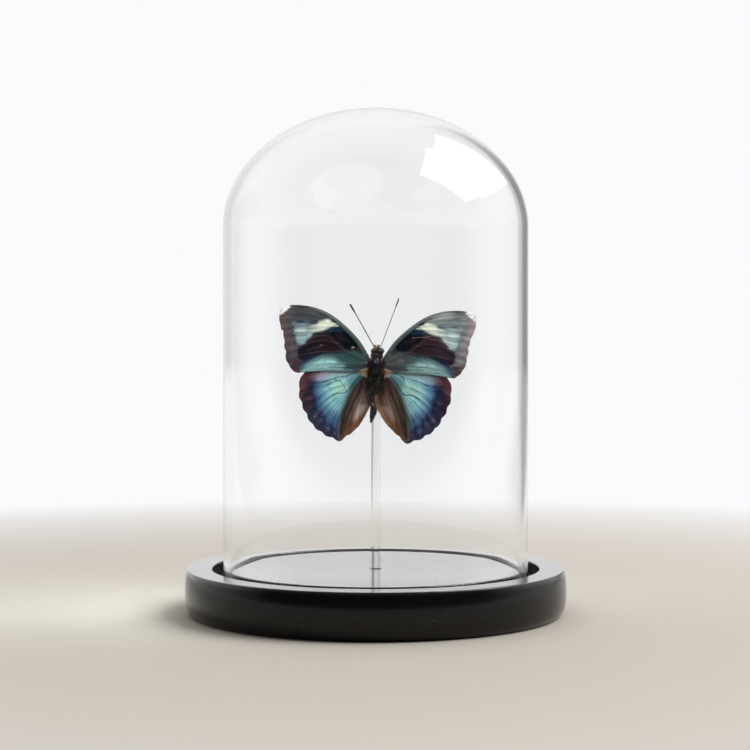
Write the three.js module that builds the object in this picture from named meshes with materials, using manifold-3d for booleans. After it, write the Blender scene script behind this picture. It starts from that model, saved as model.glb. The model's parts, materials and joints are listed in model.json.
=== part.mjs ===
// A dried butterfly on a clear rod, under a glass dome that stands in the groove of a black turned base.
// Millimetres, +Z up. The origin is the middle of the base's underside, and the front of the object faces -Y.
import * as THREE from "three";
import { mergeVertices } from "three/addons/utils/BufferGeometryUtils.js";
import Module from "manifold-3d";

// ---------- driving dimensions ----------

const FIT_GAP = 0.3; // air between pieces that are fitted, glued or grown together

const BASE = {
  radius: 62.5, // widest, at mid height
  footRadius: 60, // flat ring that touches the table
  height: 15,
  topRadius: 61.4, // outer edge of the rim's flat top
  lipRound: 0.5, // rounding of the sharp top edges
  segments: 64,
};
const GROOVE = {
  innerRadius: 47, // also the edge of the raised middle
  outerRadius: 53.6,
  floor: 10.5, // height of the groove's floor above the table
};
const PLATFORM_TOP = 14.7; // the raised middle is a little lower than the rim

const DOME = {
  radius: 50,
  wall: 2,
  height: 154.6,
  capHeight: 39, // the elliptical top, above the straight wall
  seatGap: 0.1, // air between the lip and the groove's floor
  segments: 48,
};

const ROD = {
  radius: 1.5,
  top: 83,
  holeDepth: 8, // blind hole in the middle of the base
  sides: 24,
};

// The butterfly hangs head up with its back to the front, turned a little clockwise as seen from there.
const SPECIMEN = {
  x: 0.1,
  z: 80.8, // height of the thorax's middle
  roll: THREE.MathUtils.degToRad(2.1),
};
const THORAX = { halfWidth: 2.15, halfDepth: 2.7, halfLength: 3.7, y: -5.6 };
const HEAD = { x: 0.2, y: -5.9, z: 5.35, halfWidth: 2.1, halfDepth: 1.5, halfHeight: 1.3 };
const ABDOMEN = { length: 14, radius: 1.15, waistRadius: 0.85, top: -4.1, y: -5.4 };
const BEAD = { halfWidth: 1.9, halfDepth: 1.3, halfHeight: 2, y: -2 };
const WING_THICKNESS = 0.35;
const ANTENNA = { shaftRadius: 0.15, clubRadius: 0.28, clubLength: 2.8 };
const PALP = { length: 1.1, radius: 0.4, spread: 0.5 };
const LEG_RADIUS = 0.18;
// Hip, knee and foot of each right leg from the middle of the thorax, folded under it beside the rod.
const LEG_STATIONS = {
  foreleg: [[0.6, -2.6, 3], [1.3, -2.1, 4], [1.1, -2.3, 4.9]],
  midleg: [[2, -2.6, 1], [3.4, -1.2, 2.3], [2.9, 0, -1.2], [2.5, 0.4, -4.2]],
  hindleg: [[1.9, -2.5, -2], [3.1, -1.3, -3.4], [2.7, -0.6, -6.6], [2.2, -0.4, -9]],
};

// ---------- materials ----------

const blackPaint = material(0x1c1a19, 0.45);
const clearGlass = material(0xffffff, 0.03, 0.15);
const clearAcrylic = material(0xf4f8f8, 0.08, 0.35);
const clearGlue = material(0xf2efe6, 0.2, 0.5);
const blueBlackFur = material(0x15181d, 0.8);
const darkCuticle = material(0x1d1613, 0.35);
const tanScales = material(0xb87a3f, 0.8);
const forewingScales = material(0x2f4548, 0.6);
const hindwingScales = material(0x3f7f8b, 0.6);

function material(color, roughness, opacity = 1) {
  return new THREE.MeshStandardMaterial({
    color,
    roughness,
    metalness: 0,
    transparent: opacity < 1,
    opacity,
  });
}

// ---------- solids ----------

const wasm = await Module();
wasm.setup();

/** A closed geometry as a solid that can be cut. */
function solidFrom(geometry) {
  const bare = geometry.clone();
  bare.deleteAttribute("normal");
  bare.deleteAttribute("uv");
  const merged = mergeVertices(bare, 1e-4);
  const mesh = new wasm.Mesh({
    numProp: 3,
    vertProperties: merged.attributes.position.array,
    triVerts: new Uint32Array(merged.index.array),
  });
  return new wasm.Manifold(mesh);
}

function geometryFrom(solid) {
  const mesh = solid.getMesh();
  const geometry = new THREE.BufferGeometry();
  geometry.setAttribute("position", new THREE.BufferAttribute(mesh.vertProperties, 3));
  geometry.setIndex(new THREE.BufferAttribute(mesh.triVerts, 1));
  geometry.computeVertexNormals();
  return geometry;
}

/** A solid of revolution about Z. Its path runs in (radius, height), between two points of the axis. */
function turned(path, segments, curveSteps) {
  return new THREE.LatheGeometry(path.getPoints(curveSteps), segments).rotateX(Math.PI / 2);
}

function ellipsoid({ halfWidth, halfDepth, halfHeight }, around, along) {
  return new THREE.SphereGeometry(1, around, along)
    .rotateX(Math.PI / 2)
    .scale(halfWidth, halfDepth, halfHeight);
}

function piece(name, geometry, look, parent) {
  const mesh = new THREE.Mesh(geometry, look);
  mesh.name = name;
  parent.add(mesh);
  return mesh;
}

// ---------- the case ----------

function addBase(parent) {
  const { radius, footRadius, height, topRadius, lipRound } = BASE;
  const holeRadius = ROD.radius + FIT_GAP;
  const path = new THREE.Path();
  path.moveTo(0, 0);
  path.lineTo(footRadius, 0);
  path.quadraticCurveTo(radius - 0.3, 0.5, radius, height * 0.4);
  path.quadraticCurveTo(radius + 0.1, height * 0.75, topRadius + 0.4, height - lipRound);
  path.quadraticCurveTo(topRadius + 0.3, height, topRadius - 0.1, height);
  path.lineTo(GROOVE.outerRadius + lipRound, height);
  path.quadraticCurveTo(GROOVE.outerRadius, height, GROOVE.outerRadius, height - lipRound);
  path.lineTo(GROOVE.outerRadius, GROOVE.floor);
  path.lineTo(GROOVE.innerRadius, GROOVE.floor);
  path.lineTo(GROOVE.innerRadius, PLATFORM_TOP - lipRound);
  path.quadraticCurveTo(
    GROOVE.innerRadius,
    PLATFORM_TOP,
    GROOVE.innerRadius - lipRound,
    PLATFORM_TOP,
  );
  path.lineTo(holeRadius, PLATFORM_TOP);
  path.lineTo(holeRadius, PLATFORM_TOP - ROD.holeDepth);
  path.lineTo(0, PLATFORM_TOP - ROD.holeDepth);
  piece("base", turned(path, BASE.segments, 3), blackPaint, parent);
}

function addGlassDome(parent) {
  const { radius, wall, height, capHeight, seatGap } = DOME;
  const bottom = GROOVE.floor + seatGap;
  const shoulder = bottom + height - capHeight;
  const inner = radius - wall;
  const lip = wall / 2;
  const path = new THREE.Path();
  path.absellipse(0, shoulder, inner, capHeight - wall, Math.PI / 2, 0, true);
  path.lineTo(inner, bottom + lip);
  path.quadraticCurveTo(inner, bottom, inner + lip, bottom);
  path.quadraticCurveTo(radius, bottom, radius, bottom + lip);
  path.lineTo(radius, shoulder);
  path.absellipse(0, shoulder, radius, capHeight, 0, Math.PI / 2, false);
  piece("glass_dome", turned(path, DOME.segments, 4), clearGlass, parent);
}

function rodGeometry(radius, bottom, top) {
  return new THREE.CylinderGeometry(radius, radius, top - bottom, ROD.sides)
    .rotateX(Math.PI / 2)
    .translate(0, 0, (top + bottom) / 2);
}

function addSupportRod(parent) {
  const foot = PLATFORM_TOP - ROD.holeDepth + FIT_GAP;
  piece("support_rod", rodGeometry(ROD.radius, foot, ROD.top), clearAcrylic, parent);
}

// ---------- the butterfly: body ----------

function thoraxGeometry(clearance) {
  const { halfWidth, halfDepth, halfLength, y } = THORAX;
  const size = {
    halfWidth: halfWidth + clearance,
    halfDepth: halfDepth + clearance,
    halfHeight: halfLength + clearance,
  };
  return ellipsoid(size, 20, 14).translate(0, y, 0);
}

/** A saddle of set glue that fills the corner between the rod and the underside of the thorax. */
function addAdhesiveBead(specimen) {
  const blob = ellipsoid(BEAD, 20, 14).translate(-SPECIMEN.x, BEAD.y, 0);
  const reach = 2 * BEAD.halfHeight;
  const rodSpace = rodGeometry(ROD.radius + FIT_GAP, -reach, reach).translate(-SPECIMEN.x, 0, 0);
  const saddle = solidFrom(blob)
    .subtract(solidFrom(rodSpace))
    .subtract(solidFrom(thoraxGeometry(FIT_GAP)));
  piece("adhesive_bead", geometryFrom(saddle), clearGlue, specimen);
}

function addHead(specimen) {
  const head = piece("head", ellipsoid(HEAD, 16, 12), darkCuticle, specimen);
  head.position.set(HEAD.x, HEAD.y, HEAD.z);
}

/** The abdomen is round, pinched behind its first rings, and bends a little sideways towards its tip. */
function addAbdomen(specimen) {
  const { length, radius, waistRadius, top, y } = ABDOMEN;
  const outline = new THREE.Path([new THREE.Vector2(0, 0)]);
  outline.splineThru([
    new THREE.Vector2(0.5, 0.5),
    new THREE.Vector2(1.02, 2.4),
    new THREE.Vector2(radius, 5),
    new THREE.Vector2(waistRadius, 8.2),
    new THREE.Vector2(1.05, 11.4),
    new THREE.Vector2(0, length),
  ]);
  const geometry = turned(outline, 12, 3).translate(0, 0, top - length);
  const bend = new THREE.SplineCurve([
    new THREE.Vector2(-0.9, top - length),
    new THREE.Vector2(-0.1, top - 10.2),
    new THREE.Vector2(-0.45, top - 7),
    new THREE.Vector2(-0.5, top),
  ]);
  const position = geometry.attributes.position;
  for (let i = 0; i < position.count; i += 1) {
    const along = (position.getZ(i) - (top - length)) / length;
    position.setX(i, position.getX(i) + bend.getPointAt(THREE.MathUtils.clamp(along, 0, 1)).x);
  }
  geometry.translate(0, y, 0);
  piece("abdomen", geometry, blueBlackFur, specimen);
}

/** A straight feeler with a slim club, from its socket on the head to its tip. */
function addAntenna(specimen, side, socket, tip) {
  const { shaftRadius, clubRadius, clubLength } = ANTENNA;
  const direction = new THREE.Vector3(...tip).sub(new THREE.Vector3(...socket));
  const length = direction.length();
  const path = new THREE.Path([new THREE.Vector2(0, 0)]);
  path.lineTo(shaftRadius, 0.1);
  path.lineTo(shaftRadius, length - clubLength);
  path.lineTo(clubRadius, length - clubLength * 0.45);
  path.lineTo(clubRadius * 0.8, length - 0.3);
  path.lineTo(0, length);
  const antenna = piece(`antenna_${side}`, turned(path, 8, 1), darkCuticle, specimen);
  antenna.position.set(...socket);
  antenna.quaternion.setFromUnitVectors(new THREE.Vector3(0, 0, 1), direction.normalize());
}

function addPalp(specimen, side, sign) {
  const { length, radius, spread } = PALP;
  const path = new THREE.Path([new THREE.Vector2(0, 0)]);
  path.splineThru([
    new THREE.Vector2(radius, length * 0.3),
    new THREE.Vector2(radius * 0.7, length * 0.75),
    new THREE.Vector2(0, length),
  ]);
  const palp = piece(`palp_${side}`, turned(path, 8, 2), tanScales, specimen);
  palp.position.set(HEAD.x + sign * spread, HEAD.y, HEAD.z + HEAD.halfHeight + FIT_GAP);
}

/** A thin round bar along a smooth line through the given points. */
function bar(points, radius, sides, steps) {
  const section = new THREE.Shape(
    Array.from({ length: sides }, (_, i) => {
      const angle = (2 * Math.PI * i) / sides;
      return new THREE.Vector2(radius * Math.cos(angle), radius * Math.sin(angle));
    }),
  );
  const extrudePath = new THREE.CatmullRomCurve3(points);
  return new THREE.ExtrudeGeometry(section, { steps, bevelEnabled: false, extrudePath });
}

/** The tongue is wound up like a watch spring behind the palps. */
function addProboscis(specimen) {
  const turns = 1.75;
  const outer = 0.95;
  const inner = 0.3;
  const centre = new THREE.Vector3(HEAD.x, HEAD.y + HEAD.halfDepth + FIT_GAP + outer + 0.15, HEAD.z);
  const points = [];
  for (let i = 0; i <= 16; i += 1) {
    const along = i / 16;
    const angle = 2 * Math.PI * turns * along;
    const reach = THREE.MathUtils.lerp(outer, inner, along);
    const spot = new THREE.Vector3(0, -reach * Math.cos(angle), reach * Math.sin(angle));
    points.push(spot.add(centre));
  }
  piece("proboscis", bar(points, 0.11, 6, 40), darkCuticle, specimen);
}

function addLeg(specimen, name, sign, stations) {
  const points = stations.map(([x, y, z]) => new THREE.Vector3(sign * x, y, z));
  piece(name, bar(points, LEG_RADIUS, 6, 18), darkCuticle, specimen);
}

// ---------- the butterfly: wings ----------

/** Scallops along a margin: an arc that bulges outwards from each notch to the next. */
function scallops(shape, notches, bulge) {
  for (const [x, z] of notches) {
    const start = shape.currentPoint;
    const chord = new THREE.Vector2(x - start.x, z - start.y);
    const outwards = new THREE.Vector2(-chord.y, chord.x).setLength(2 * bulge);
    shape.quadraticCurveTo(
      (start.x + x) / 2 + outwards.x,
      (start.y + z) / 2 + outwards.y,
      x,
      z,
    );
  }
}

function vectors(pairs) {
  return pairs.map(([x, z]) => new THREE.Vector2(x, z));
}

/** Outline of the right forewing, as (x, z) from the middle of the thorax. */
function forewingOutline() {
  const shape = new THREE.Shape();
  shape.moveTo(2.6, 3.9);
  shape.splineThru(
    vectors([[5.7, 8.5], [10.4, 13.1], [15.7, 16.8], [21, 18.7], [26, 19.2], [29.3, 18.9]]),
  );
  shape.quadraticCurveTo(31.2, 18.2, 31.8, 15.6);
  scallops(shape, [[30.6, 11.1], [29.7, 7.4], [29.1, 4.3], [28.7, 1.4], [26.9, -1.9]], 0.2);
  shape.quadraticCurveTo(26.1, -2.7, 24.9, -2.7);
  shape.splineThru(vectors([[16.7, -1.9], [9.5, -1.8], [5, -1.5], [2.6, -0.6]]));
  shape.closePath();
  return shape;
}

/** Outline of the right hindwing, whose front margin lies under the forewing. */
function hindwingOutline() {
  const shape = new THREE.Shape();
  shape.moveTo(2.7, 0.2);
  shape.splineThru(vectors([[8, 2], [15, 1.6], [20.5, -0.3], [24, -3.6], [24.4, -8.4]]));
  scallops(shape, [[23.4, -12.3], [21.7, -15.8], [19.6, -19.2], [16.8, -21.5], [13.1, -23.3]], 0.55);
  shape.quadraticCurveTo(11, -25.6, 9.2, -23.1);
  shape.quadraticCurveTo(5.8, -21, 3.8, -17.8);
  shape.quadraticCurveTo(1.9, -14.6, 1, -11.5);
  shape.lineTo(0.9, -4.4);
  shape.lineTo(2.6, -2.2);
  shape.closePath();
  return shape;
}

/** A bent sheet, drawn by its front line in (x, y), that is trimmed to a wing's outline. */
function wingGeometry(outline, frontLine) {
  const front = new THREE.SplineCurve(vectors(frontLine)).getPoints(10);
  const back = front.map((p) => new THREE.Vector2(p.x, p.y + WING_THICKNESS)).reverse();
  const tall = 60;
  const sheet = new THREE.ExtrudeGeometry(new THREE.Shape([...front, ...back]), {
    depth: tall,
    bevelEnabled: false,
  }).translate(0, 0, -tall / 2);
  const deep = 20;
  const cutter = new THREE.ExtrudeGeometry(outline, {
    depth: deep,
    bevelEnabled: false,
    curveSegments: 5,
  }).rotateX(Math.PI / 2);
  return geometryFrom(solidFrom(sheet).intersect(solidFrom(cutter)));
}

function addWings(specimen) {
  const forewing = wingGeometry(forewingOutline(), [[2, -6.7], [10, -7.3], [20, -7.8], [33, -7.9]]);
  const hindwing = wingGeometry(
    hindwingOutline(),
    [[0, -3.9], [2.4, -4.3], [7, -6.1], [15, -6.8], [26, -7.2]],
  );
  for (const [side, sign] of [["left", -1], ["right", 1]]) {
    piece(`forewing_${side}`, forewing, forewingScales, specimen).scale.x = sign;
    piece(`hindwing_${side}`, hindwing, hindwingScales, specimen).scale.x = sign;
  }
}

// ---------- assembly ----------

function butterfly() {
  const specimen = new THREE.Group();
  specimen.position.set(SPECIMEN.x, 0, SPECIMEN.z);
  specimen.rotation.y = SPECIMEN.roll;
  piece("thorax", thoraxGeometry(0), blueBlackFur, specimen);
  addHead(specimen);
  addAbdomen(specimen);
  addAntenna(specimen, "left", [-0.9, -6.3, 7], [-9.2, -7.2, 20.2]);
  addAntenna(specimen, "right", [1.25, -6.3, 7], [6.6, -6.8, 22.5]);
  addProboscis(specimen);
  addWings(specimen);
  for (const [side, sign] of [["left", -1], ["right", 1]]) {
    addPalp(specimen, side, sign);
    for (const [pair, stations] of Object.entries(LEG_STATIONS)) {
      addLeg(specimen, `${pair}_${side}`, sign, stations);
    }
  }
  addAdhesiveBead(specimen);
  return specimen;
}

const object = new THREE.Group();
addBase(object);
addGlassDome(object);
addSupportRod(object);
object.add(butterfly());

export default object;
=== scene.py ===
"""Looks of the butterfly under its glass dome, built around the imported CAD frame.

Small sizes are in millimetres and turned to metres by MM. The butterfly is drawn in its own frame: x to the
right, y away from the front and z up, from the middle of its thorax. Left pieces are mirrored in x.
"""

import json
import math

import bpy
import numpy as np
from mathutils import Matrix, Vector
from mathutils.geometry import delaunay_2d_cdt

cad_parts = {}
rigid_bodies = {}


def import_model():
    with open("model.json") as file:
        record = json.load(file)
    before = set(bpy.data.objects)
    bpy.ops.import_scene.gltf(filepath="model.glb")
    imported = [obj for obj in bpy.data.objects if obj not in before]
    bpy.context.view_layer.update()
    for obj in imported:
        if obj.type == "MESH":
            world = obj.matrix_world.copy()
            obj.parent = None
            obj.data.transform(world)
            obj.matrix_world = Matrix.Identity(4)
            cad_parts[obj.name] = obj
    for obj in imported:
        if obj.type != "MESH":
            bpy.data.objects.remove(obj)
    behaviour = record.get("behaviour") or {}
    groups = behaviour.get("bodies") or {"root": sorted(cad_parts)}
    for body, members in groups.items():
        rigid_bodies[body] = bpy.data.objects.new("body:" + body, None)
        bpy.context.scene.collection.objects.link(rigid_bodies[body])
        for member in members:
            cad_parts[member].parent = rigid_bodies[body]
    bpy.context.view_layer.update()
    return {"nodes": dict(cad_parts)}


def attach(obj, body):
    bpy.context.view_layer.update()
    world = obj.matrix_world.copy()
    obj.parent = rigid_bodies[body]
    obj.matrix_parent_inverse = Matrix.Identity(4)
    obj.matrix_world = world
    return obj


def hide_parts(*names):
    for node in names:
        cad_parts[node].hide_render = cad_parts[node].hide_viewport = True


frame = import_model()

MM = 0.001
TURN = 2 * math.pi
SIDES = {"left": -1, "right": 1}
SPECIMEN_X, SPECIMEN_Z = 0.1, 80.8  # middle of the thorax, mm in the CAD frame
SPECIMEN_ROLL = math.radians(2.1)  # clockwise as seen from the front

# ---------- numbers: smooth steps, repeatable noise, lines and loops ----------


def fade(value, start, end):
    """0 up to start, 1 from end on, and smooth between them."""
    part = np.clip((value - start) / (end - start), 0, 1)
    return part * part * (3 - 2 * part)


def lattice(i, j, seed):
    """A repeatable value from 0 to 1 for each pair of whole numbers."""
    mixed = np.asarray(i) * 374761393 + np.asarray(j) * 668265263 + seed * 974634777
    mixed = mixed & 0xFFFFFFFF
    mixed = ((mixed ^ (mixed >> 13)) * 1274126177) & 0xFFFFFFFF
    return ((mixed ^ (mixed >> 16)) & 0xFFFF) / 65535.0


def value_noise(u, v, seed):
    """Smooth noise from 0 to 1, with one bump to each unit of u and v."""
    i, j = np.floor(u).astype(np.int64), np.floor(v).astype(np.int64)
    s, t = fade(u - i, 0, 1), fade(v - j, 0, 1)
    low = lattice(i, j, seed) * (1 - s) + lattice(i + 1, j, seed) * s
    high = lattice(i, j + 1, seed) * (1 - s) + lattice(i + 1, j + 1, seed) * s
    return low * (1 - t) + high * t


def layered_noise(u, v, seed, layers=4):
    """Noise from 0 to 1 with ever finer layers."""
    total, weight, strength = 0.0, 0.0, 1.0
    for layer in range(layers):
        total = total + strength * value_noise(u * 2**layer, v * 2**layer, seed + 17 * layer)
        weight += strength
        strength *= 0.55
    return total / weight


def fan_noise(points, focus, across, along, seed, layers=3):
    """Streaks that fan out from a focus: across mm wide at 30 mm from it, and along mm long."""
    offset = points - np.array(focus)
    angle = np.arctan2(offset[:, 1], offset[:, 0])
    reach = np.linalg.norm(offset, axis=1)
    return layered_noise(angle * 30 / across, reach / along, seed, layers)


def even_steps(line, step):
    """The line again, with points at even distances of about a step."""
    run = np.r_[0, np.cumsum(np.linalg.norm(np.diff(line, axis=0), axis=1))]
    count = max(2, int(round(run[-1] / step)) + 1)
    stops = np.linspace(0, run[-1], count)
    return np.column_stack([np.interp(stops, run, axis) for axis in line.T])


def smooth_line(points, step, closed=False):
    """A rounded line through the points; a closed one leaves out the return to its first point."""
    points = np.array(points, float)
    if closed:
        points = np.vstack([points[-1:], points, points[:2]])
    else:
        points = np.vstack([2 * points[0] - points[1], points, 2 * points[-1] - points[-2]])
    t = np.linspace(0, 1, 12, endpoint=False)[:, None]
    spans = []
    for a, b, c, d in zip(points[:-3], points[1:-2], points[2:-1], points[3:]):
        spans.append(b + 0.5 * t * (c - a + t * (2 * a - 5 * b + 4 * c - d + t * (3 * b - a - 3 * c + d))))
    spans.append(points[-2:-1])
    line = even_steps(np.vstack(spans), step)
    return line[:-1] if closed else line


def unit_rows(vectors):
    """The vectors, each with a length of one."""
    return vectors / np.linalg.norm(vectors, axis=1)[:, None]


def to_line(points, line):
    """Distance from each point to a line, and how far along it, from 0 to 1, the nearest place is."""
    nearest = np.full(len(points), 1e9)
    along = np.zeros(len(points))
    run = 0.0
    for start, end in zip(line[:-1], line[1:]):
        span = end - start
        length = math.hypot(*span)
        if length == 0:
            continue
        part = np.clip((points - start) @ span / length**2, 0, 1)
        gap = np.hypot(*(points - start - part[:, None] * span).T)
        nearer = gap < nearest
        nearest[nearer] = gap[nearer]
        along[nearer] = run + part[nearer] * length
        run += length
    return nearest, along / run


def is_inside(points, loop):
    """True for the points that a closed loop surrounds."""
    x, y = points.T
    inside = np.zeros(len(points), bool)
    for (x1, y1), (x2, y2) in zip(loop, np.roll(loop, -1, axis=0)):
        crosses = (y1 > y) != (y2 > y)
        if crosses.any():
            inside ^= crosses & (x < (x2 - x1) * (y - y1) / (y2 - y1) + x1)
    return inside


def depth_in(points, loop):
    """Distance to a closed loop, positive inside it and negative outside."""
    gap, _ = to_line(points, np.vstack([loop, loop[:1]]))
    return np.where(is_inside(points, loop), gap, -gap)


def tone(colour):
    """A display colour from 0 to 255 as linear light."""
    part = np.array(colour, float) / 255
    return np.where(part <= 0.04045, part / 12.92, ((part + 0.055) / 1.055) ** 2.4)


# ---------- meshes ----------


def new_piece(name, points, faces, material, nodes=(), colours=None):
    """A mesh piece from points in metres that rides on the object's one body."""
    mesh = bpy.data.meshes.new(name)
    mesh.from_pydata([tuple(p) for p in points], [], faces)
    mesh.polygons.foreach_set("use_smooth", [True] * len(mesh.polygons))
    if colours is not None:
        paint = mesh.attributes.new("paint", "FLOAT_COLOR", "POINT")
        paint.data.foreach_set("color", np.asarray(colours, np.float32).ravel())
    mesh.materials.append(material)
    piece = bpy.data.objects.new(name, mesh)
    bpy.context.scene.collection.objects.link(piece)
    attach(piece, "root")
    if nodes:
        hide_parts(*nodes)
    return piece


def in_frame(points, side=1):
    """Points of the specimen in mm as metres in the CAD frame, mirrored on the left and rolled in place."""
    x, y, z = np.asarray(points, float).T
    x = x * side
    across = x * math.cos(SPECIMEN_ROLL) + z * math.sin(SPECIMEN_ROLL)
    up = -x * math.sin(SPECIMEN_ROLL) + z * math.cos(SPECIMEN_ROLL)
    return np.column_stack([across + SPECIMEN_X, y, up + SPECIMEN_Z]) * MM


def flipped(faces):
    """The faces turned over, as mirrored points need them."""
    return [tuple(reversed(face)) for face in faces]


class Build:
    """Collects the points, faces and colours of one piece.

    A colour's fourth number is its gloss, from 0 to 1."""

    def __init__(self):
        self.points, self.faces, self.colours, self.count = [], [], [], 0

    def add(self, points, faces, colours, gloss=0.3):
        """Adds a part with one colour and gloss for each point, or a single one for all of them."""
        points = np.asarray(points, float)
        self.points.append(points)
        painted = np.empty((len(points), 4))
        painted[:, :3] = colours
        painted[:, 3] = gloss
        self.colours.append(painted)
        self.faces += [tuple(i + self.count for i in face) for face in faces]
        self.count += len(points)

    def piece(self, name, material, slot, nodes=(), side=1):
        points = in_frame(np.vstack(self.points), side)
        faces = flipped(self.faces) if side < 0 else self.faces
        return new_piece(name, points, faces, material, nodes, np.vstack(self.colours))


def turned(path, segments):
    """Points and faces of a closed solid of revolution.

    The path runs in (radius, height) from axis to axis."""
    rings = [(r, h) for r, h in path if r > 1e-9]
    points = [(0, 0, path[0][1])]
    for radius, height in rings:
        for k in range(segments):
            angle = TURN * k / segments
            points.append((radius * math.cos(angle), radius * math.sin(angle), height))
    points.append((0, 0, path[-1][1]))
    faces = []
    last = len(points) - 1
    for k in range(segments):
        after = (k + 1) % segments
        faces.append((0, 1 + after, 1 + k))
        for ring in range(len(rings) - 1):
            low, high = 1 + ring * segments, 1 + (ring + 1) * segments
            faces.append((low + k, low + after, high + after, high + k))
        top = 1 + (len(rings) - 1) * segments
        faces.append((top + k, top + after, last))
    return np.array(points), faces


def curve_through(start, control, end, steps):
    """A quadratic curve's points after its start."""
    start, control, end = map(np.array, (start, control, end))
    t = np.linspace(0, 1, steps + 1)[1:, None]
    return list((1 - t) ** 2 * start + 2 * t * (1 - t) * control + t**2 * end)


def tube(line, radii, sides):
    """A round bar along a 3-D line, with a radius for each of its points."""
    line = np.asarray(line, float)
    ahead = unit_rows(np.gradient(line, axis=0))
    side = np.cross(ahead[0], (0.13, 0.97, 0.21))
    points = []
    for centre, along, radius in zip(line, ahead, radii):
        side = side - along * side.dot(along)
        side /= np.linalg.norm(side)
        up = np.cross(along, side)
        for k in range(sides):
            angle = TURN * k / sides
            points.append(centre + radius * (math.cos(angle) * side + math.sin(angle) * up))
    faces = []
    for ring in range(len(line) - 1):
        low, high = ring * sides, (ring + 1) * sides
        for k in range(sides):
            after = (k + 1) % sides
            faces.append((low + k, low + after, high + after, high + k))
    faces.append(tuple(reversed(range(sides))))
    faces.append(tuple(range(len(points) - sides, len(points))))
    return np.array(points), faces


# ---------- materials ----------


class Graph:
    """Adds linked nodes to one node tree. Each call takes sockets or plain values and returns a socket."""

    def __init__(self, tree):
        self.tree = tree

    def node(self, kind, settings, values):
        node = self.tree.nodes.new(kind)
        for name, value in settings.items():
            setattr(node, name, value)
        for name, value in values.items():
            if isinstance(value, bpy.types.NodeSocket):
                self.tree.links.new(value, node.inputs[name])
            else:
                node.inputs[name].default_value = value
        return node

    def place(self, scale):
        """Coordinates of the object, scaled by one number or by one for each axis."""
        if isinstance(scale, int):
            scale = (scale, scale, scale)
        coordinates = self.node("ShaderNodeTexCoord", {}, {}).outputs["Object"]
        scaled = self.node("ShaderNodeMapping", {}, {"Vector": coordinates, "Scale": scale})
        return scaled.outputs["Vector"]

    def attribute(self, name, output="Color"):
        return self.node("ShaderNodeAttribute", {"attribute_name": name}, {}).outputs[output]

    def math(self, operation, first, second=0.0):
        return self.node("ShaderNodeMath", {"operation": operation}, {0: first, 1: second}).outputs[0]

    def plus(self, first, second):
        return self.math("ADD", first, second)

    def times(self, first, second):
        return self.math("MULTIPLY", first, second)

    def axes(self, vector):
        """A vector's X, Y and Z."""
        return self.node("ShaderNodeSeparateXYZ", {}, {"Vector": vector}).outputs

    def noise(self, vector, scale, detail=3.0, roughness=0.5):
        values = {"Vector": vector, "Scale": scale, "Detail": detail, "Roughness": roughness}
        return self.node("ShaderNodeTexNoise", {}, values).outputs["Fac"]

    def cells(self, vector):
        """Distance to the nearest of many scattered points, one to a unit of the vector."""
        values = {"Vector": vector, "Scale": 1.0}
        return self.node("ShaderNodeTexVoronoi", {"feature": "F1"}, values).outputs["Distance"]

    def spread(self, value, low, high, new_low=0.0, new_high=1.0):
        """The range low to high stretched to new_low to new_high, and held at its ends."""
        names = ("Value", "From Min", "From Max", "To Min", "To Max")
        values = dict(zip(names, (value, low, high, new_low, new_high)))
        return self.node("ShaderNodeMapRange", {"clamp": True}, values).outputs["Result"]

    def mix(self, part, first, second, blend="MIX"):
        settings = {"data_type": "RGBA", "blend_type": blend}
        node = self.node("ShaderNodeMix", settings, {})
        for index, value in ((0, part), (6, first), (7, second)):
            if isinstance(value, bpy.types.NodeSocket):
                self.tree.links.new(value, node.inputs[index])
            elif index == 0:
                node.inputs[index].default_value = value
            else:
                node.inputs[index].default_value = (*value, 1.0)
        return node.outputs[2]

    def bump(self, height, distance, strength=1.0):
        values = {"Height": height, "Distance": distance, "Strength": strength}
        return self.node("ShaderNodeBump", {}, values).outputs["Normal"]


def new_material(name, settings):
    """A Principled material; settings are its sockets' plain values. Returns it with its graph and shader."""
    material = bpy.data.materials.new(name)
    material.use_nodes = True
    shader = material.node_tree.nodes["Principled BSDF"]
    for socket, value in settings.items():
        shader.inputs[socket].default_value = value
    return material, Graph(material.node_tree), shader


def link(graph, shader, **sockets):
    """Links sockets to the shader's inputs, named with _ for a space."""
    for name, socket in sockets.items():
        graph.tree.links.new(socket, shader.inputs[name.replace("_", " ")])


def absorb(material, graph, colour, density):
    """Clear solids take a little light on the way through."""
    values = {"Color": (*colour, 1.0), "Density": density}
    volume = graph.node("ShaderNodeVolumeAbsorption", {}, values)
    output = material.node_tree.nodes["Material Output"]
    graph.tree.links.new(volume.outputs["Volume"], output.inputs["Volume"])


# ---------- the case: base, dome, rod ----------

TURNED_SEGMENTS, ROD_SEGMENTS = 288, 96
CORNER_STEPS, SIDE_STEPS, FILLET_STEPS = 6, 18, 3
CAP_STEPS, LIP_STEPS, WALL_STEPS = 72, 16, 12
RIM_TOP, MIDDLE_TOP = 15, 14.7  # heights of the base's two flat tops
GROOVE_INNER, GROOVE_OUTER, GROOVE_FLOOR = 47, 53.6, 10.5
HOLE_RADIUS, HOLE_FLOOR = 1.8, 6.7
DOME_RADIUS, DOME_WALL = 50, 2
DOME_BOTTOM, DOME_SHOULDER = 10.6, 126.2  # heights of the lip and of the straight wall's end
DOME_CAP = 39  # how far the cap rises above the shoulder
ROD_RADIUS, ROD_FOOT, ROD_TOP = 1.5, 7.0, 83


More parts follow.
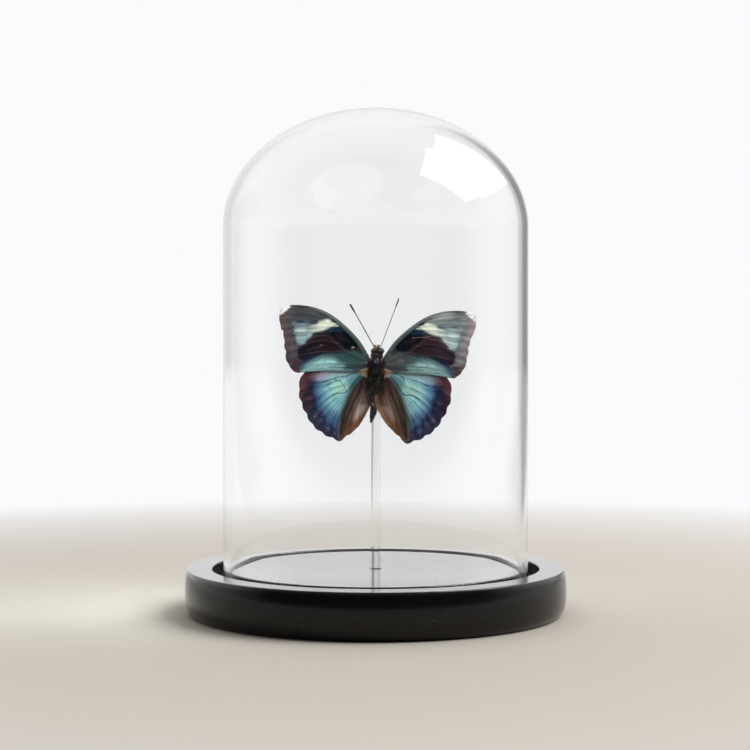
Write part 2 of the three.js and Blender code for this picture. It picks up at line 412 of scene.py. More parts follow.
def black_paint():
    """Satin black paint on turned wood: faint lathe lines, grain that shows through, and a little dust, with
    painted reflection on the side and painted sheen on the flat tops.
    """
    settings = {"Roughness": 0.3, "Coat Weight": 1.0, "Coat Roughness": 0.13, "Coat IOR": 1.5, "IOR": 1.16}
    material, graph, shader = new_material("black_painted_wood", settings)
    grain = graph.noise(graph.place((90, 1400, 2600)), 1.0, 4.0, 0.6)
    pores = graph.noise(graph.place((260, 5200, 6400)), 1.0, 2.0, 0.5)
    cloud = graph.noise(graph.place(60), 1.0, 3.0)
    cell = graph.place(420)
    dust = graph.spread(graph.cells(cell), 0.02, 0.07, 1.0, 0.0)
    chosen = graph.spread(graph.noise(cell, 0.35, 1.0), 0.56, 0.62)
    dust = graph.times(dust, chosen)
    height = graph.axes(graph.place(1))["Z"]
    # Bluish high on the side and warmer towards its foot: a painted reflection of the room and of the brown
    # table.
    table_reflection = graph.spread(height, 0.012, 0.001)
    black = graph.mix(table_reflection, (0.004, 0.0045, 0.0055), (0.009, 0.0065, 0.005))
    black = graph.mix(graph.spread(grain, 0.35, 0.8), black, (0.011, 0.010, 0.0098))
    # A faint grey on the two flat tops: painted sheen that stands in for their bright grazing reflection.
    black = graph.mix(graph.spread(height, 0.0139, 0.0146, 0.0, 0.03), black, (0.5, 0.5, 0.52))
    black = graph.mix(graph.times(dust, 0.75), black, (0.33, 0.31, 0.29))
    rough = graph.plus(graph.spread(cloud, 0.3, 0.7, 0.12, 0.15), graph.spread(grain, 0.3, 0.8, 0.0, 0.08))
    rough = graph.plus(rough, graph.times(dust, 0.4))
    relief = graph.plus(grain, graph.times(pores, 0.6))
    relief = graph.plus(relief, graph.times(dust, 2.0))
    polish = graph.spread(height, 0.0132, 0.0145, 0.42, 1.0)
    link(graph, shader, Base_Color=black, Roughness=rough, Coat_Weight=polish,
         Normal=graph.bump(relief, 0.00004, 0.5))
    return material


def dome_glass():
    """Blown clear glass, polished, its clearness faintly uneven."""
    settings = {"Base Color": (1, 1, 1, 1), "Roughness": 0.0, "IOR": 1.46, "Transmission Weight": 1.0}
    material, graph, shader = new_material("dome_glass", settings)
    cloud = graph.noise(graph.place((24, 24, 12)), 1.0, 3.0)
    link(graph, shader, Base_Color=graph.mix(cloud, (1.0, 1.0, 1.0), (0.985, 0.99, 0.99)))
    absorb(material, graph, (0.88, 0.92, 0.91), 5.0)
    return material


def clear_acrylic():
    """Clear drawn rod with faint lines along it."""
    settings = {"Base Color": (1, 1, 1, 1), "Roughness": 0.0, "IOR": 1.49, "Transmission Weight": 1.0}
    material, graph, shader = new_material("clear_acrylic", settings)
    lines = graph.noise(graph.place((900, 900, 14)), 1.0, 2.0)
    link(graph, shader, Normal=graph.bump(lines, 0.00006, 0.25))
    absorb(material, graph, (0.8, 0.82, 0.66), 60.0)
    return material


def clear_glue():
    """Set glue, slightly yellow and lumpy."""
    settings = {"Base Color": (1, 0.99, 0.96, 1), "Roughness": 0.12, "IOR": 1.48, "Transmission Weight": 1.0}
    material, graph, shader = new_material("clear_glue", settings)
    lumps = graph.noise(graph.place(1500), 1.0, 3.0)
    link(graph, shader, Normal=graph.bump(lumps, 0.0002, 0.5))
    absorb(material, graph, (0.9, 0.8, 0.55), 120.0)
    return material


def base_path():
    """Half section of the base from the middle of its underside to the foot of the rod's hole."""
    inner, outer, floor = GROOVE_INNER, GROOVE_OUTER, GROOVE_FLOOR
    path = [(0, 0), (30, 0), (59.4, 0)]
    path += curve_through((59.4, 0), (60, 0), (60.25, 0.35), CORNER_STEPS)
    path += curve_through((60.25, 0.35), (62.3, 1.4), (62.5, 6), SIDE_STEPS)
    path += curve_through((62.5, 6), (62.6, 11.25), (61.8, 14.5), SIDE_STEPS)
    path += curve_through((61.8, 14.5), (61.7, RIM_TOP), (61.3, RIM_TOP), CORNER_STEPS)
    path += [(r, RIM_TOP) for r in (60.4, 57.5, 55, 54.1)]
    path += curve_through((54.1, RIM_TOP), (outer, RIM_TOP), (outer, 14.5), CORNER_STEPS)
    path += [(outer, 12.5), (outer, 10.8)]
    path += curve_through((outer, 10.8), (outer, floor), (53.3, floor), FILLET_STEPS)
    path += [(50.3, floor), (47.3, floor)]
    path += curve_through((47.3, floor), (inner, floor), (inner, 10.8), FILLET_STEPS)
    path += [(inner, 12.5), (inner, 14.2)]
    path += curve_through((inner, 14.2), (inner, MIDDLE_TOP), (46.5, MIDDLE_TOP), CORNER_STEPS)
    path += [(r, MIDDLE_TOP) for r in (45.6, 36, 24, 12, 3, 2.1)]
    path += curve_through((2.1, MIDDLE_TOP), (HOLE_RADIUS, MIDDLE_TOP), (HOLE_RADIUS, 14.4), FILLET_STEPS)
    path += [(HOLE_RADIUS, 10), (HOLE_RADIUS, HOLE_FLOOR), (0, HOLE_FLOOR)]
    return path


def dome_path():
    """Half section of the dome: inside of the cap, down to the rounded lip, and up the outside."""
    lip = DOME_WALL / 2  # radius of the rounded lip
    inside, cap_inside = DOME_RADIUS - DOME_WALL, DOME_CAP - DOME_WALL
    angles = np.linspace(math.pi / 2, 0, CAP_STEPS)
    path = [(inside * math.cos(a), DOME_SHOULDER + cap_inside * math.sin(a)) for a in angles]
    path += [(inside, h) for h in np.linspace(DOME_SHOULDER, DOME_BOTTOM + lip, WALL_STEPS)[1:]]
    for k in range(1, LIP_STEPS):
        angle = math.pi + math.pi * k / LIP_STEPS
        path.append((inside + lip + lip * math.cos(angle), DOME_BOTTOM + lip + lip * math.sin(angle)))
    path += [(DOME_RADIUS, h) for h in np.linspace(DOME_BOTTOM + lip, DOME_SHOULDER, WALL_STEPS)[:-1]]
    path += [(DOME_RADIUS * math.cos(a), DOME_SHOULDER + DOME_CAP * math.sin(a)) for a in reversed(angles)]
    path[0] = (0, path[0][1])
    path[-1] = (0, path[-1][1])
    return path


def rod_path():
    """Half section of the rod, with its foot sawn off and its top's edge rounded."""
    path = [(0, ROD_FOOT), (ROD_RADIUS - 0.3, ROD_FOOT), (ROD_RADIUS, ROD_FOOT + 0.3)]
    path += [(ROD_RADIUS, h) for h in np.linspace(ROD_FOOT + 1, ROD_TOP - 1, 38)]
    return path + [(ROD_RADIUS, 82.8), (1.42, 82.95), (1.3, ROD_TOP), (0, ROD_TOP)]


def build_case():
    points, faces = turned(base_path(), TURNED_SEGMENTS)
    new_piece("base_turned", points * MM, faces, black_paint(), ["base"])
    points, faces = turned(dome_path(), TURNED_SEGMENTS)
    new_piece("dome_blown", points * MM, faces, dome_glass(), ["glass_dome"])
    points, faces = turned(rod_path(), ROD_SEGMENTS)
    new_piece("rod_drawn", points * MM, faces, clear_acrylic(), ["support_rod"])
    bead = frame["nodes"]["adhesive_bead"]
    bead.data.materials.clear()
    bead.data.materials.append(clear_glue())


# ---------- wings ----------

WING_GRID = 0.17  # mm between the points of a wing's sheet
OUTLINE_STEP = 0.16
SHEET_THICKNESS = 0.1
CAD_SHEET = 0.35  # the plate that stands for a wing in the CAD model
PLEAT, SWELL, CRINKLE = 0.16, 0.34, 0.07  # mm, from coarse to fine, how far a sheet leaves its plate
FRINGE_STEP, FRINGE_WIDTH, FRINGE_ROOT = 0.075, 0.065, 0.12  # mm, of the scales along the margin
VEIN_SIDES = 6
VEIN_HEIGHT = 0.62  # radius of the raised bar, as a share of the painted vein's
SPECK = 0.12  # mm, size of the single scales that are darker or lighter
WING_GAIN = 1.2  # from colours as seen in the soft light to colours of the scales
FORE_FOCUS, HIND_FOCUS = (-15.0, 13.0), (5.5, -2.2)  # where the streaks of each wing fan out from
FORE_LINE = ((2, -6.7), (10, -7.3), (20, -7.8), (33, -7.9))  # front of the plate, as x and y
HIND_LINE = ((0, -3.9), (2.4, -4.3), (7, -6.1), (15, -6.8), (26, -7.2))

FORE_EDGE = ((2.3, 3.4), (5.7, 8.5), (10.4, 13.1), (15.7, 16.8), (21, 18.7), (26, 19.2), (29.3, 18.9),
             (30.9, 18.0))
FORE_TIP = {
    "left": (
        (31.7, 16.7), (31.8, 15.7), (31.75, 14), (31.3, 12.6), (31.15, 11.2), (30.75, 10.95), (30.4, 10.8),
        (30.4, 9.6), (30, 8), (29.7, 7), (29.9, 6), (29.6, 4.7), (29.1, 3.8), (29.5, 2.2), (29, 1.1),
        (28.1, -0.2), (27.5, -1.4), (26.5, -2.4),
    ),
    "right": (
        (31.7, 17.0), (31.8, 16.1), (31.75, 14.5), (31.3, 12.5), (30.6, 11), (30.1, 9.6), (29.9, 8),
        (29.4, 7.3), (29.7, 6), (29.4, 4.8), (29.1, 3.6), (29.2, 2.4), (29, 1.5), (28, 0), (27.3, -1.3),
        (26.3, -2.2),
    ),
}
FORE_HEM = ((25.1, -2.75), (16.7, -1.9), (9.5, -1.8), (5, -1.5), (2.3, -0.6))
HIND_EDGE = ((2.3, 0.2), (8, 2), (15, 1.6), (20.5, -0.3), (23.6, -3.2), (24.7, -5.8), (24.4, -8.4))
HIND_NOTCHES = ((24.4, -8.4), (23.45, -12.3), (21.75, -15.85), (19.65, -19.2), (16.8, -21.5), (13.1, -23.3))
HIND_BULGE = 0.62
HIND_LOBE = ((12.2, -24.1), (11.1, -24.55), (10.2, -24.2))
HIND_HEM = {
    "left": ((9.3, -23.1), (8.6, -22.3), (7.9, -22.45), (6.7, -21.2), (5, -19.6), (3.7, -17.5), (2.5, -15),
             (1.6, -13)),
    "right": ((9.2, -23.3), (8.5, -22.1), (7.8, -22), (6.3, -20.6), (4.9, -19.3), (3.9, -18.3), (3.2, -17),
              (1.3, -13.3)),
}
HIND_ROOT = ((0.7, -11), (0.7, -7.5), (0.9, -4.4), (2.3, -2.2))

FORE_VEINS = (  # line and radius at its two ends
    (((2.4, 3.3), (5.7, 8.3), (10.4, 12.95), (15.7, 16.6), (21, 18.5), (26, 19.0), (29.3, 18.7)), 0.2, 0.09),
    (((3.0, 3.6), (6.2, 8.3), (9, 11.1), (12, 13.6), (15, 15.75), (18, 17.3), (21, 18.3)), 0.13, 0.06),
    (((2.8, 2.6), (3.8, 3.5), (6.5, 8.0), (9, 10.6), (12, 13.0), (15, 15.2), (20, 17.1), (26, 18.1),
     (30.4, 18.3)), 0.17, 0.06),
    (((13, 13.5), (17, 15.3), (22, 16.4), (28, 16.9), (31.7, 17)), 0.09, 0.05),
    (((14.2, 13.4), (18, 14.3), (23, 14.7), (31.6, 14.6)), 0.09, 0.05),
    (((13.2, 12.7), (15, 12.5), (18, 12.4), (24, 12.3), (31.2, 12.0)), 0.09, 0.05),
    (((15, 10.9), (17, 10.75), (20, 10.6), (26, 10.2), (30.2, 9.3)), 0.09, 0.05),
    (((16, 9.7), (19, 9.3), (23, 8.3), (27, 7.4), (29.7, 6.9)), 0.09, 0.05),
    (((12.5, 7.1), (15.5, 7.9), (18.5, 7.9), (21, 7.4), (24, 5.8), (27, 4.6), (29.2, 3.9)), 0.1, 0.05),
    (((10.2, 4.9), (14, 4.5), (18, 4.4), (20, 4.1), (24, 3.1), (27, 2.1), (29.1, 1.4)), 0.1, 0.05),
    (((2.8, 2.0), (4.2, 2.3), (8, 4.1), (11, 5.5), (13.5, 7.7), (16, 9.7)), 0.17, 0.1),
    (((13.2, 12.7), (14.6, 11.6), (15.2, 10.8), (16, 9.7)), 0.06, 0.06),
    (((2.8, 1.0), (4, 0.7), (10, 0.35), (17, 0.4), (22, -0.2), (25, -0.8), (28.1, -0.6)), 0.13, 0.05),
)
HIND_VEINS = (
    (((3.4, 0.0), (8, -0.6), (14, -0.7), (19, -1.6), (23, -3.6)), 0.12, 0.05),
    (((4.4, -1.6), (6.5, -1.9), (9, -2.9), (12, -3.7), (16, -4.9), (19.5, -6.3), (24.2, -8.5)), 0.13, 0.05),
    (((6.6, -2.2), (8.2, -2.5), (9.1, -3.2), (9.5, -4.3)), 0.07, 0.03),
    (((9.3, -4.4), (10.2, -5.9), (11.5, -6.6), (14, -7.3), (17, -9.3), (19.5, -10.9), (23.3, -12.3)), 0.09,
     0.045),
    (((9.6, -5.4), (10.4, -7.8), (12.2, -8.7), (14.8, -9.9), (18.6, -13), (21.7, -15.8)), 0.09, 0.045),
    (((4.4, -2.2), (6.5, -4.6), (8.9, -7.6), (12, -10.4), (17.5, -15.5), (19.6, -19.1)), 0.12, 0.045),
    (((7.6, -6), (11, -10.8), (15.5, -17), (16.8, -21.4)), 0.1, 0.045),
    (((6.2, -4.4), (10, -10.4), (13.4, -18), (13.1, -23.2)), 0.1, 0.045),
    (((3.6, -2.6), (5.0, -6.0), (7.4, -11.4), (9.6, -17), (10.9, -24.1)), 0.13, 0.05),
    (((2.6, -3.2), (3.9, -8), (4.6, -13), (5.0, -18.6)), 0.1, 0.04),
)
HIND_SCRATCHES = {  # width, cover and line of the scratches in each hindwing's disc
    "left": (
        (0.1, 0.75, ((9.1, -3.5), (10.3, -3.5), (11.6, -3.6), (12.5, -3.8), (13.7, -4.2), (14.9, -4.7),
         (16.4, -5.2), (17.5, -5.8))),
        (0.15, 0.9, ((13.2, -4.3), (12.7, -4.8), (11.8, -4.9), (11.3, -4.6))),
        (0.11, 0.8, ((11.3, -5.1), (10.5, -6.3), (9.9, -7.0), (9.3, -8.0))),
        (0.13, 0.8, ((8.9, -8.2), (9.9, -8.6), (10.9, -8.9), (12.0, -8.9), (13.1, -9.2), (13.9, -9.7))),
        (0.2, 0.5, ((16.0, -6.5), (15.2, -6.0), (14.3, -5.5))),
        (0.14, 0.8, ((15.2, -7.3), (14.6, -7.0))),
        (0.08, 0.55, ((11.0, -6.6), (12.7, -7.1), (13.7, -7.6), (15.0, -8.5))),
        (0.12, 0.8, ((9.3, -3.5), (8.5, -2.8), (7.7, -2.5), (6.6, -2.4))),
    ),
    "right": (
        (0.12, 0.8, ((7.8, -2.5), (8.6, -3.0), (9.1, -3.6), (9.4, -4.4))),
        (0.16, 0.75, ((11.4, -6.4), (12.3, -6.7), (13.1, -7.1), (13.9, -7.7))),
        (0.15, 0.9, ((8.7, -8.3), (9.7, -8.6), (10.7, -8.8), (11.7, -8.7), (12.3, -8.8), (13.3, -9.3),
         (14.6, -10.1))),
        (0.1, 0.75, ((11.5, -3.6), (13.5, -4.1), (14.8, -4.5), (16.1, -5.0), (17.6, -5.7))),
        (0.1, 0.5, ((11.1, -7.7), (11.4, -7.1))),
    ),
}


def scallops(notches, bulge):
    """Points of a margin that bulges outwards between each notch and the next."""
    line = [notches[0]]
    for (x1, z1), (x2, z2) in zip(notches[:-1], notches[1:]):
        length = math.hypot(x2 - x1, z2 - z1)
        out_x, out_z = -(z2 - z1) / length, (x2 - x1) / length
        middle = ((x1 + x2) / 2 + 2 * bulge * out_x, (z1 + z2) / 2 + 2 * bulge * out_z)
        line += [tuple(p) for p in curve_through((x1, z1), middle, (x2, z2), 10)]
    return line


def fore_loop(side):
    edge = smooth_line(FORE_EDGE, OUTLINE_STEP)
    tip = even_steps(np.array(((30.9, 18.0), *FORE_TIP[side], (25.1, -2.75))), OUTLINE_STEP)
    hem = smooth_line(FORE_HEM, OUTLINE_STEP)
    return frayed(np.vstack([edge[:-1], tip[:-1], hem]), len(edge), len(edge) + len(tip), 0.09, 5)


def hind_loop(side):
    edge = smooth_line(HIND_EDGE, OUTLINE_STEP)
    margin = even_steps(np.array(scallops(HIND_NOTCHES, HIND_BULGE) + list(HIND_LOBE)), OUTLINE_STEP)
    hem = even_steps(np.array((HIND_LOBE[-1], *HIND_HEM[side], *HIND_ROOT)), OUTLINE_STEP)
    loop = np.vstack([edge[:-1], margin[:-1], hem])
    return frayed(loop, len(edge), len(edge) + len(margin) + int(0.6 * len(hem)), 0.07, 9)


def frayed(loop, first, last, depth, seed):
    """The outline with its corners eased and a slightly ragged margin from one point to another."""
    for _ in range(2):
        loop = (np.roll(loop, 1, axis=0) + 2 * loop + np.roll(loop, -1, axis=0)) / 4
    ahead = unit_rows(np.roll(loop, -1, axis=0) - np.roll(loop, 1, axis=0))
    outwards = np.column_stack([-ahead[:, 1], ahead[:, 0]])
    index = np.arange(len(loop))
    ragged = value_noise(index * 0.9, 0.0, seed) - 0.5
    ragged = ragged + 0.8 * (value_noise(index * 0.23, 0.0, seed + 1) - 0.5)
    amount = np.where((index >= first) & (index <= last), depth, 0.015) * ragged * 2
    return loop + outwards * amount[:, None]


def sheet_points(loop):
    """A field of points inside the outline, in staggered rows."""
    low, high = loop.min(axis=0), loop.max(axis=0)
    rows = np.arange(low[1], high[1], WING_GRID * 0.866)
    points = []
    for number, z in enumerate(rows):
        x = np.arange(low[0] + (number % 2) * WING_GRID / 2, high[0], WING_GRID)
        points.append(np.column_stack([x, np.full(len(x), z)]))
    points = np.vstack(points)
    jitter = lattice(np.arange(len(points)), 0, 3) - 0.5
    points[:, 0] += jitter * WING_GRID * 0.25
    return points[depth_in(points, loop) > WING_GRID * 0.55]


def wing_depth(points, line, veins, seed):
    """y of a sheet's middle: the bent plate, pleated between its veins and a little uneven."""
    x, z = points.T
    bent = smooth_line(line, 0.5)
    depth = np.interp(x, bent[:, 0], bent[:, 1]) + CAD_SHEET / 2
    nearest = np.full(len(points), 9.0)
    for vein, _, _ in veins:
        nearest = np.minimum(nearest, to_line(points, smooth_line(vein, 0.6))[0])
    depth += PLEAT * fade(nearest, 0, 1.3)
    depth += SWELL * (layered_noise(x / 9, z / 9, seed, 2) - 0.5)
    return depth + CRINKLE * (layered_noise(x / 1.6, z / 1.6, seed + 3, 2) - 0.5)


class Paint:
    """Colours of a wing's scales, laid on in layers at its (x, z) points."""

    def __init__(self, points, focus, side, seed):
        self.points, self.side = points, side
        self.x, self.z = points.T
        self.streaks = fan_noise(points, focus, 0.34, 3.6, seed)
        self.fine = fan_noise(points, focus, 0.2, 1.3, seed + 40)
        self.cloud = layered_noise(points[:, 0] / 3.1, points[:, 1] / 3.1, seed + 80, 3)
        away = unit_rows(points - np.array(focus))
        shift = 2.2 * (self.streaks - 0.5) + 1.0 * (self.fine - 0.5)
        self.feathered = points + away * shift[:, None]
        self.colour = np.zeros((len(points), 3))

    def lay(self, colour, cover=1.0):
        """Lays one colour, or a colour for each point, over the wing as far as cover says."""
        colour = tone(colour) if isinstance(colour, tuple) else colour
        cover = np.clip(np.broadcast_to(cover, len(self.points)), 0, 1)
        self.colour += (colour - self.colour) * cover[:, None]

    def within(self, loop, soft, feathered=True):
        """1 inside a rounded loop and 0 outside, with a soft edge."""
        points = self.feathered if feathered else self.points
        loop = smooth_line(loop, 0.5, closed=True)
        near = self.near(points, loop, soft)
        cover = np.zeros(len(points))
        cover[near] = fade(depth_in(points[near], loop), -soft, soft)
        return cover

    @staticmethod
    def near(points, line, reach):
        """True for the points in a line's box, widened by a reach."""
        return np.all((points > line.min(axis=0) - reach) & (points < line.max(axis=0) + reach), axis=1)

    def patch(self, colour, loop, soft=0.4, cover=1.0, feathered=True):
        """A rounded patch of colour; a feathered one has its edge drawn out along the streaks."""
        self.lay(colour, cover * self.within(loop, soft, feathered))

    def stroke(self, colour, line, width, cover=1.0, soft=0.12):
        """A rounded line with soft sides and thin ends."""
        line = smooth_line(line, 0.5)
        near = self.near(self.points, line, width + soft)
        gap, along = to_line(self.points[near], line)
        ends = fade(along, -0.01, 0.04) * fade(along, 1.01, 0.94)
        covered = np.zeros(len(self.points))
        covered[near] = ends * fade(gap, width + soft, width * 0.5)
        self.lay(colour, cover * covered)

    def blend(self, first, second, part):
        """A colour for each point between two tones, or between colours for each point."""
        part = np.clip(part, 0, 1).reshape(-1, 1)
        first = tone(first) if isinstance(first, tuple) else first
        return first * (1 - part) + tone(second) * part

    def pick(self, left, right):
        """The value for the wing's own side, because the two wings aren't worn alike and because the right
        forewing's paler outer part is a painted reflection of bright light in the glass.
        """
        return right if self.side == "right" else left


def forewing_paint(points, side):
    """Upper side: teal front edge and hem, a pale band, maroon-black middle and brown tip."""
    paint = Paint(points, FORE_FOCUS, side, 11)
    margin = to_line(points, np.array(((30.9, 18.0), *FORE_TIP["right"])))[0]
    paint_tip(paint, margin)
    paint_middle(paint)
    paint_band(paint)
    paint_hem(paint)
    scuffed = fade(margin, 5.5, 1.5) * fade(paint.cloud, 0.35, 0.6)
    paint.lay(paint.pick((128, 92, 70), (140, 114, 98)), 0.36 * fade(paint.fine, 0.56, 0.68) * scuffed)
    paint_hem_lines(paint)
    paint_front_edge(paint)
    paint_fore_root(paint)
    return finished_paint(paint, FORE_VEINS, (92, 76, 66), 0.62)


def paint_tip(paint, margin):
    """Brown outer part of the forewing, bleached and scuffed towards its margin, with grey-blue haze; the
    right wing's much paler tones here are a painted reflection of bright light in the glass.
    """
    z, streaks = paint.z, paint.streaks
    paint.lay((46, 36, 42))
    # Each right-wing value below is paler: painted reflection of bright light in the glass over this part.
    paint.lay(paint.pick((72, 60, 64), (122, 112, 112)), fade(margin + 2 * (streaks - 0.5), 5.2, 1.8))
    paint.lay(paint.pick((68, 74, 82), (122, 126, 130)),
              0.6 * fade(streaks, 0.5, 0.68) * fade(margin, 6.5, 2.5) * fade(margin, 0.4, 1.6))
    paint.lay(paint.pick((50, 38, 44), (84, 72, 80)), 0.75 * fade(margin, 3.0, 0.4) * fade(z, 6, 0))
    paint.lay(paint.pick((80, 62, 62), (156, 146, 142)), 0.6 * fade(margin, 2.6, 0.6) * fade(z, 7, 11))
    haze_and_reflection = paint.pick((68, 78, 86), (138, 150, 154))
    paint.patch(haze_and_reflection, ((17.5, 15.2), (21, 17.6), (26, 18.3), (29.3, 16.6), (28.6, 14), (25, 12.9),
                (20, 13.5)), 1.1, 0.62 + 0.6 * (streaks - 0.5))
    paint.patch(paint.pick((108, 126, 136), (140, 152, 156)),
                ((22, 13.9), (25, 14.4), (27.6, 13.9), (27.3, 12.6), (24, 12.6)), 0.7,
                0.75 * fade(streaks, 0.3, 0.6))
    paint.patch(paint.pick((62, 76, 80), (146, 154, 152)), ((16.8, 15.7), (20, 18.0), (24.5, 18.5),
                (23.6, 16.4), (19, 14.8)), 1.0, paint.pick(0.5, 0.85))
    paint.patch(paint.pick((66, 60, 66), (100, 100, 104)), ((18, 15.6), (24, 16.3), (29.4, 16.0),
                (29, 15.2), (24, 15.3), (19, 14.7)), 0.4, 0.45)
    paint.patch(paint.pick((68, 70, 84), (84, 88, 104)), ((24, 6.8), (25.6, 7.4), (27.5, 6.6), (28, 4.4),
                (26.6, 2.6), (24.8, 3.4), (25, 5.2)), 0.8, paint.pick(0.62, 0.4) + 0.5 * (streaks - 0.5))


def paint_middle(paint):
    """The forewing's maroon-black middle and the black cell above it."""
    paint.patch(paint.pick((28, 18, 25), (36, 24, 31)), ((13.2, 8.2), (16, 10.2), (19.8, 10.7), (20.9, 9.8),
                (22.3, 8.3), (23.4, 6.8), (24.9, 6.3), (25.6, 4.4), (24.6, 1.6), (21.5, 1.9), (19, 3.2),
                (16, 4.2), (12, 4.4), (10.6, 5), (12.2, 7)), 0.45)
    paint.patch(paint.pick((38, 24, 29), (48, 30, 36)), ((15, 9.4), (18.5, 9.8), (20.6, 8.6), (21, 7.4),
                (18, 8.3), (14.6, 8.2)), 0.5, 0.6)
    paint.patch(paint.pick((44, 40, 50), (64, 60, 70)), ((17.4, 10.4), (19.6, 10.6), (21, 9.2), (22.6, 7.6),
                (21.4, 7.6), (19.6, 9.2), (17.8, 9.6)), 0.5, 0.7)
    paint.patch(paint.pick((18, 17, 30), (46, 36, 50)), ((17.6, 6.8), (20.6, 7.0), (23.6, 5.6), (24.4, 3.6),
                (22, 3.4), (19.4, 4.8)), 0.7, 0.7)
    paint.patch((3, 9, 17), ((6.1, 6.2), (6.4, 7.6), (8.5, 10.0), (11.3, 12.5), (13.3, 13.2), (15, 12.6),
                (17.3, 11.4), (18.2, 10.8), (15.6, 10.3), (13.8, 8.8), (11.6, 6.8), (9.8, 5.4), (7.8, 5.2)),
                0.32, 1.0)
    paint.patch((22, 48, 62), ((11, 11), (12.6, 12.5), (14.6, 12.3), (16.4, 11.2), (13.5, 11.0)), 0.6, 0.85)
    paint.patch((36, 24, 26), ((9, 8.2), (10.2, 9.4), (12.4, 10.2), (12.8, 9.2), (10.6, 8)), 0.6, 0.7)
    paint.patch((40, 27, 30), ((10.4, 6.2), (12.4, 8.1), (13.2, 7.4), (11.6, 5.6)), 0.4, 0.8)


def paint_band(paint):
    """Pale band, cream at its inner end and blue towards the tip, and the worn white tip."""
    x, streaks, fine = paint.x, paint.streaks, paint.fine
    pale = paint.blend((220, 227, 206), paint.pick((138, 160, 160), (166, 188, 184)),
                       fade(x + 2.4 * (streaks - 0.5), 18, 23))
    band = ((12.9, 12.9), (14.4, 14.0), (16.0, 14.9), (17.2, 14.8), (18.6, 14.2), (19.4, 13.5),
            (20.8, 12.9), (22.5, 12.6), (25.3, 12.4), (26.7, 12.1), (27.1, 10.9), (26.7, 9.4), (26.2, 8),
            (25.9, 6.9), (24.8, 6.5), (23.7, 7.0), (22.7, 8.2), (21.6, 9.1), (20.9, 9.7), (20.4, 10.6),
            (18.6, 11.1), (16.8, 11.6), (15.4, 12.4), (14.2, 12.9))
    paint.patch((94, 126, 142), band, 0.9, 0.7)
    dark_rows = fade(fine, 0.5, 0.7) * (0.25 + 0.75 * fade(x, 16, 21))
    paint.lay(pale, paint.within(band, 0.5) * (1.0 - 0.5 * dark_rows) * (1 - 0.45 * fade(x, 24.8, 27)))
    paint.patch((196, 212, 206), ((22.5, 11.9), (25.8, 11.7), (26.4, 10.8), (24, 10.6)), 0.5, 0.6)
    for line in (((18.2, 12.6), (22, 12.3), (26.4, 12.1)), ((21, 10.7), (24, 10.3), (27, 10.2)),
                 ((19.6, 12.0), (21.5, 11.8), (23.5, 11.7)), ((22.6, 9.6), (24.5, 9.3), (26.6, 9.2))):
        paint.stroke((82, 86, 94), line, 0.07, 0.7 * fade(streaks, 0.15, 0.5))
    paint.patch((255, 252, 244), ((28.7, 18.9), (30.1, 18.9), (31.2, 17.8), (32.2, 15.9), (31.4, 15.95),
                (30.4, 16.5), (29.6, 17.1), (29.0, 17.9)), 0.22)


def paint_hem(paint):
    """The forewing's teal hem with its turquoise patch and navy outer end."""
    x, z, streaks, fine = paint.x, paint.z, paint.streaks, paint.fine
    teal = paint.blend(paint.pick((44, 62, 66), (56, 62, 66)), (66, 94, 98),
                       fade(x - 1.2 * z + 2 * (streaks - 0.5), 4, 14))
    hem = ((2.4, 4.4), (4.6, 4.3), (7.8, 4.9), (10.5, 4.9), (13, 4.3), (15.5, 3.9), (19, 3.0), (22, 1.4),
           (24, 0.2), (24.9, -1.2), (24.2, -3.3), (16, -2.9), (8, -2.8), (2, -1.8))
    paint.patch(teal, hem, 0.5)
    glow = ((11.2, 0.9), (13, 1.9), (15, 2.5), (16.6, 2.4), (18.2, 1.9), (20.3, 1.0), (22.2, 0.0),
            (23.6, -0.9), (24.2, -1.7), (23.5, -2.9), (17, -2.7), (9, -2.4), (10.4, 0.4))
    bright = paint.pick((120, 164, 164), (118, 150, 148))
    paint.patch(bright, glow, 1.1, 0.85 + 0.9 * (fine - 0.5))
    paint.patch(paint.pick((142, 188, 186), (146, 176, 174)), ((13.8, 1.4), (16, 1.8), (19.4, 0.5),
                (21.4, -1.1), (20, -1.7), (13, -1.2), (14, 0.0)), 0.9,
                paint.pick(0.6, 0.4) + 0.5 * (fine - 0.5))
    paint.patch((22, 32, 52), ((18, 4.1), (20.5, 3.7), (23, 2.4), (25, 0.4), (25.6, -1.4), (24.6, -1.0),
                (22.8, 0.6), (20, 2.4), (18.2, 3.2)), 0.4, 0.85)
    paint.patch((52, 66, 98), ((21.6, 1.5), (23.4, 0.7), (25, -0.9), (24.7, -2.2), (23.6, -1.2),
                (22.4, 0.2)), 0.5, 0.7)
    paint.patch((60, 44, 52), ((24.9, 0.6), (26.4, 1.2), (28, 0.2), (26.9, -1.8), (25.4, -2.9),
                (24.5, -2.7), (25.4, -0.9)), 0.4)
    paint.patch(paint.pick((46, 72, 74), (62, 70, 72)), ((2.6, 3.4), (6, 4.6), (10.4, 4.4), (12.6, 3),
                (11, 1.2), (6, 0.9), (3, 1.4)), 0.8, 0.75)
    paint.patch((58, 56, 58), ((2.4, 0.6), (5, 0.5), (9, 0.2), (10, -0.9), (6, -0.9), (2.6, -0.2)), 0.5, 0.6)
    paint.patch((20, 30, 38), ((8, 4.9), (11, 5.2), (14, 4.7), (17.6, 4.3), (14, 4.0), (10, 4.3)), 0.35, 0.7)


def paint_hem_lines(paint):
    """Dark lines along the forewing's hem, and its mauve lower edge."""
    for line, cover in (
        (((4, 0.75), (9, 0.55), (13, 0.6), (17, 0.45)), 0.8),
        (((5, -0.1), (10, -0.5), (16, -0.55)), 0.7),
        (((5, -0.8), (10, -1.15), (17, -1.2), (21, -1.5)), 0.65),
    ):
        paint.stroke((34, 42, 48), line, 0.06, cover * fade(paint.streaks, 0.15, 0.45), 0.16)
    paint.stroke((80, 68, 82), ((5, -1.35), (9.5, -1.65), (16, -1.75), (24, -2.55)), 0.16, 0.8)


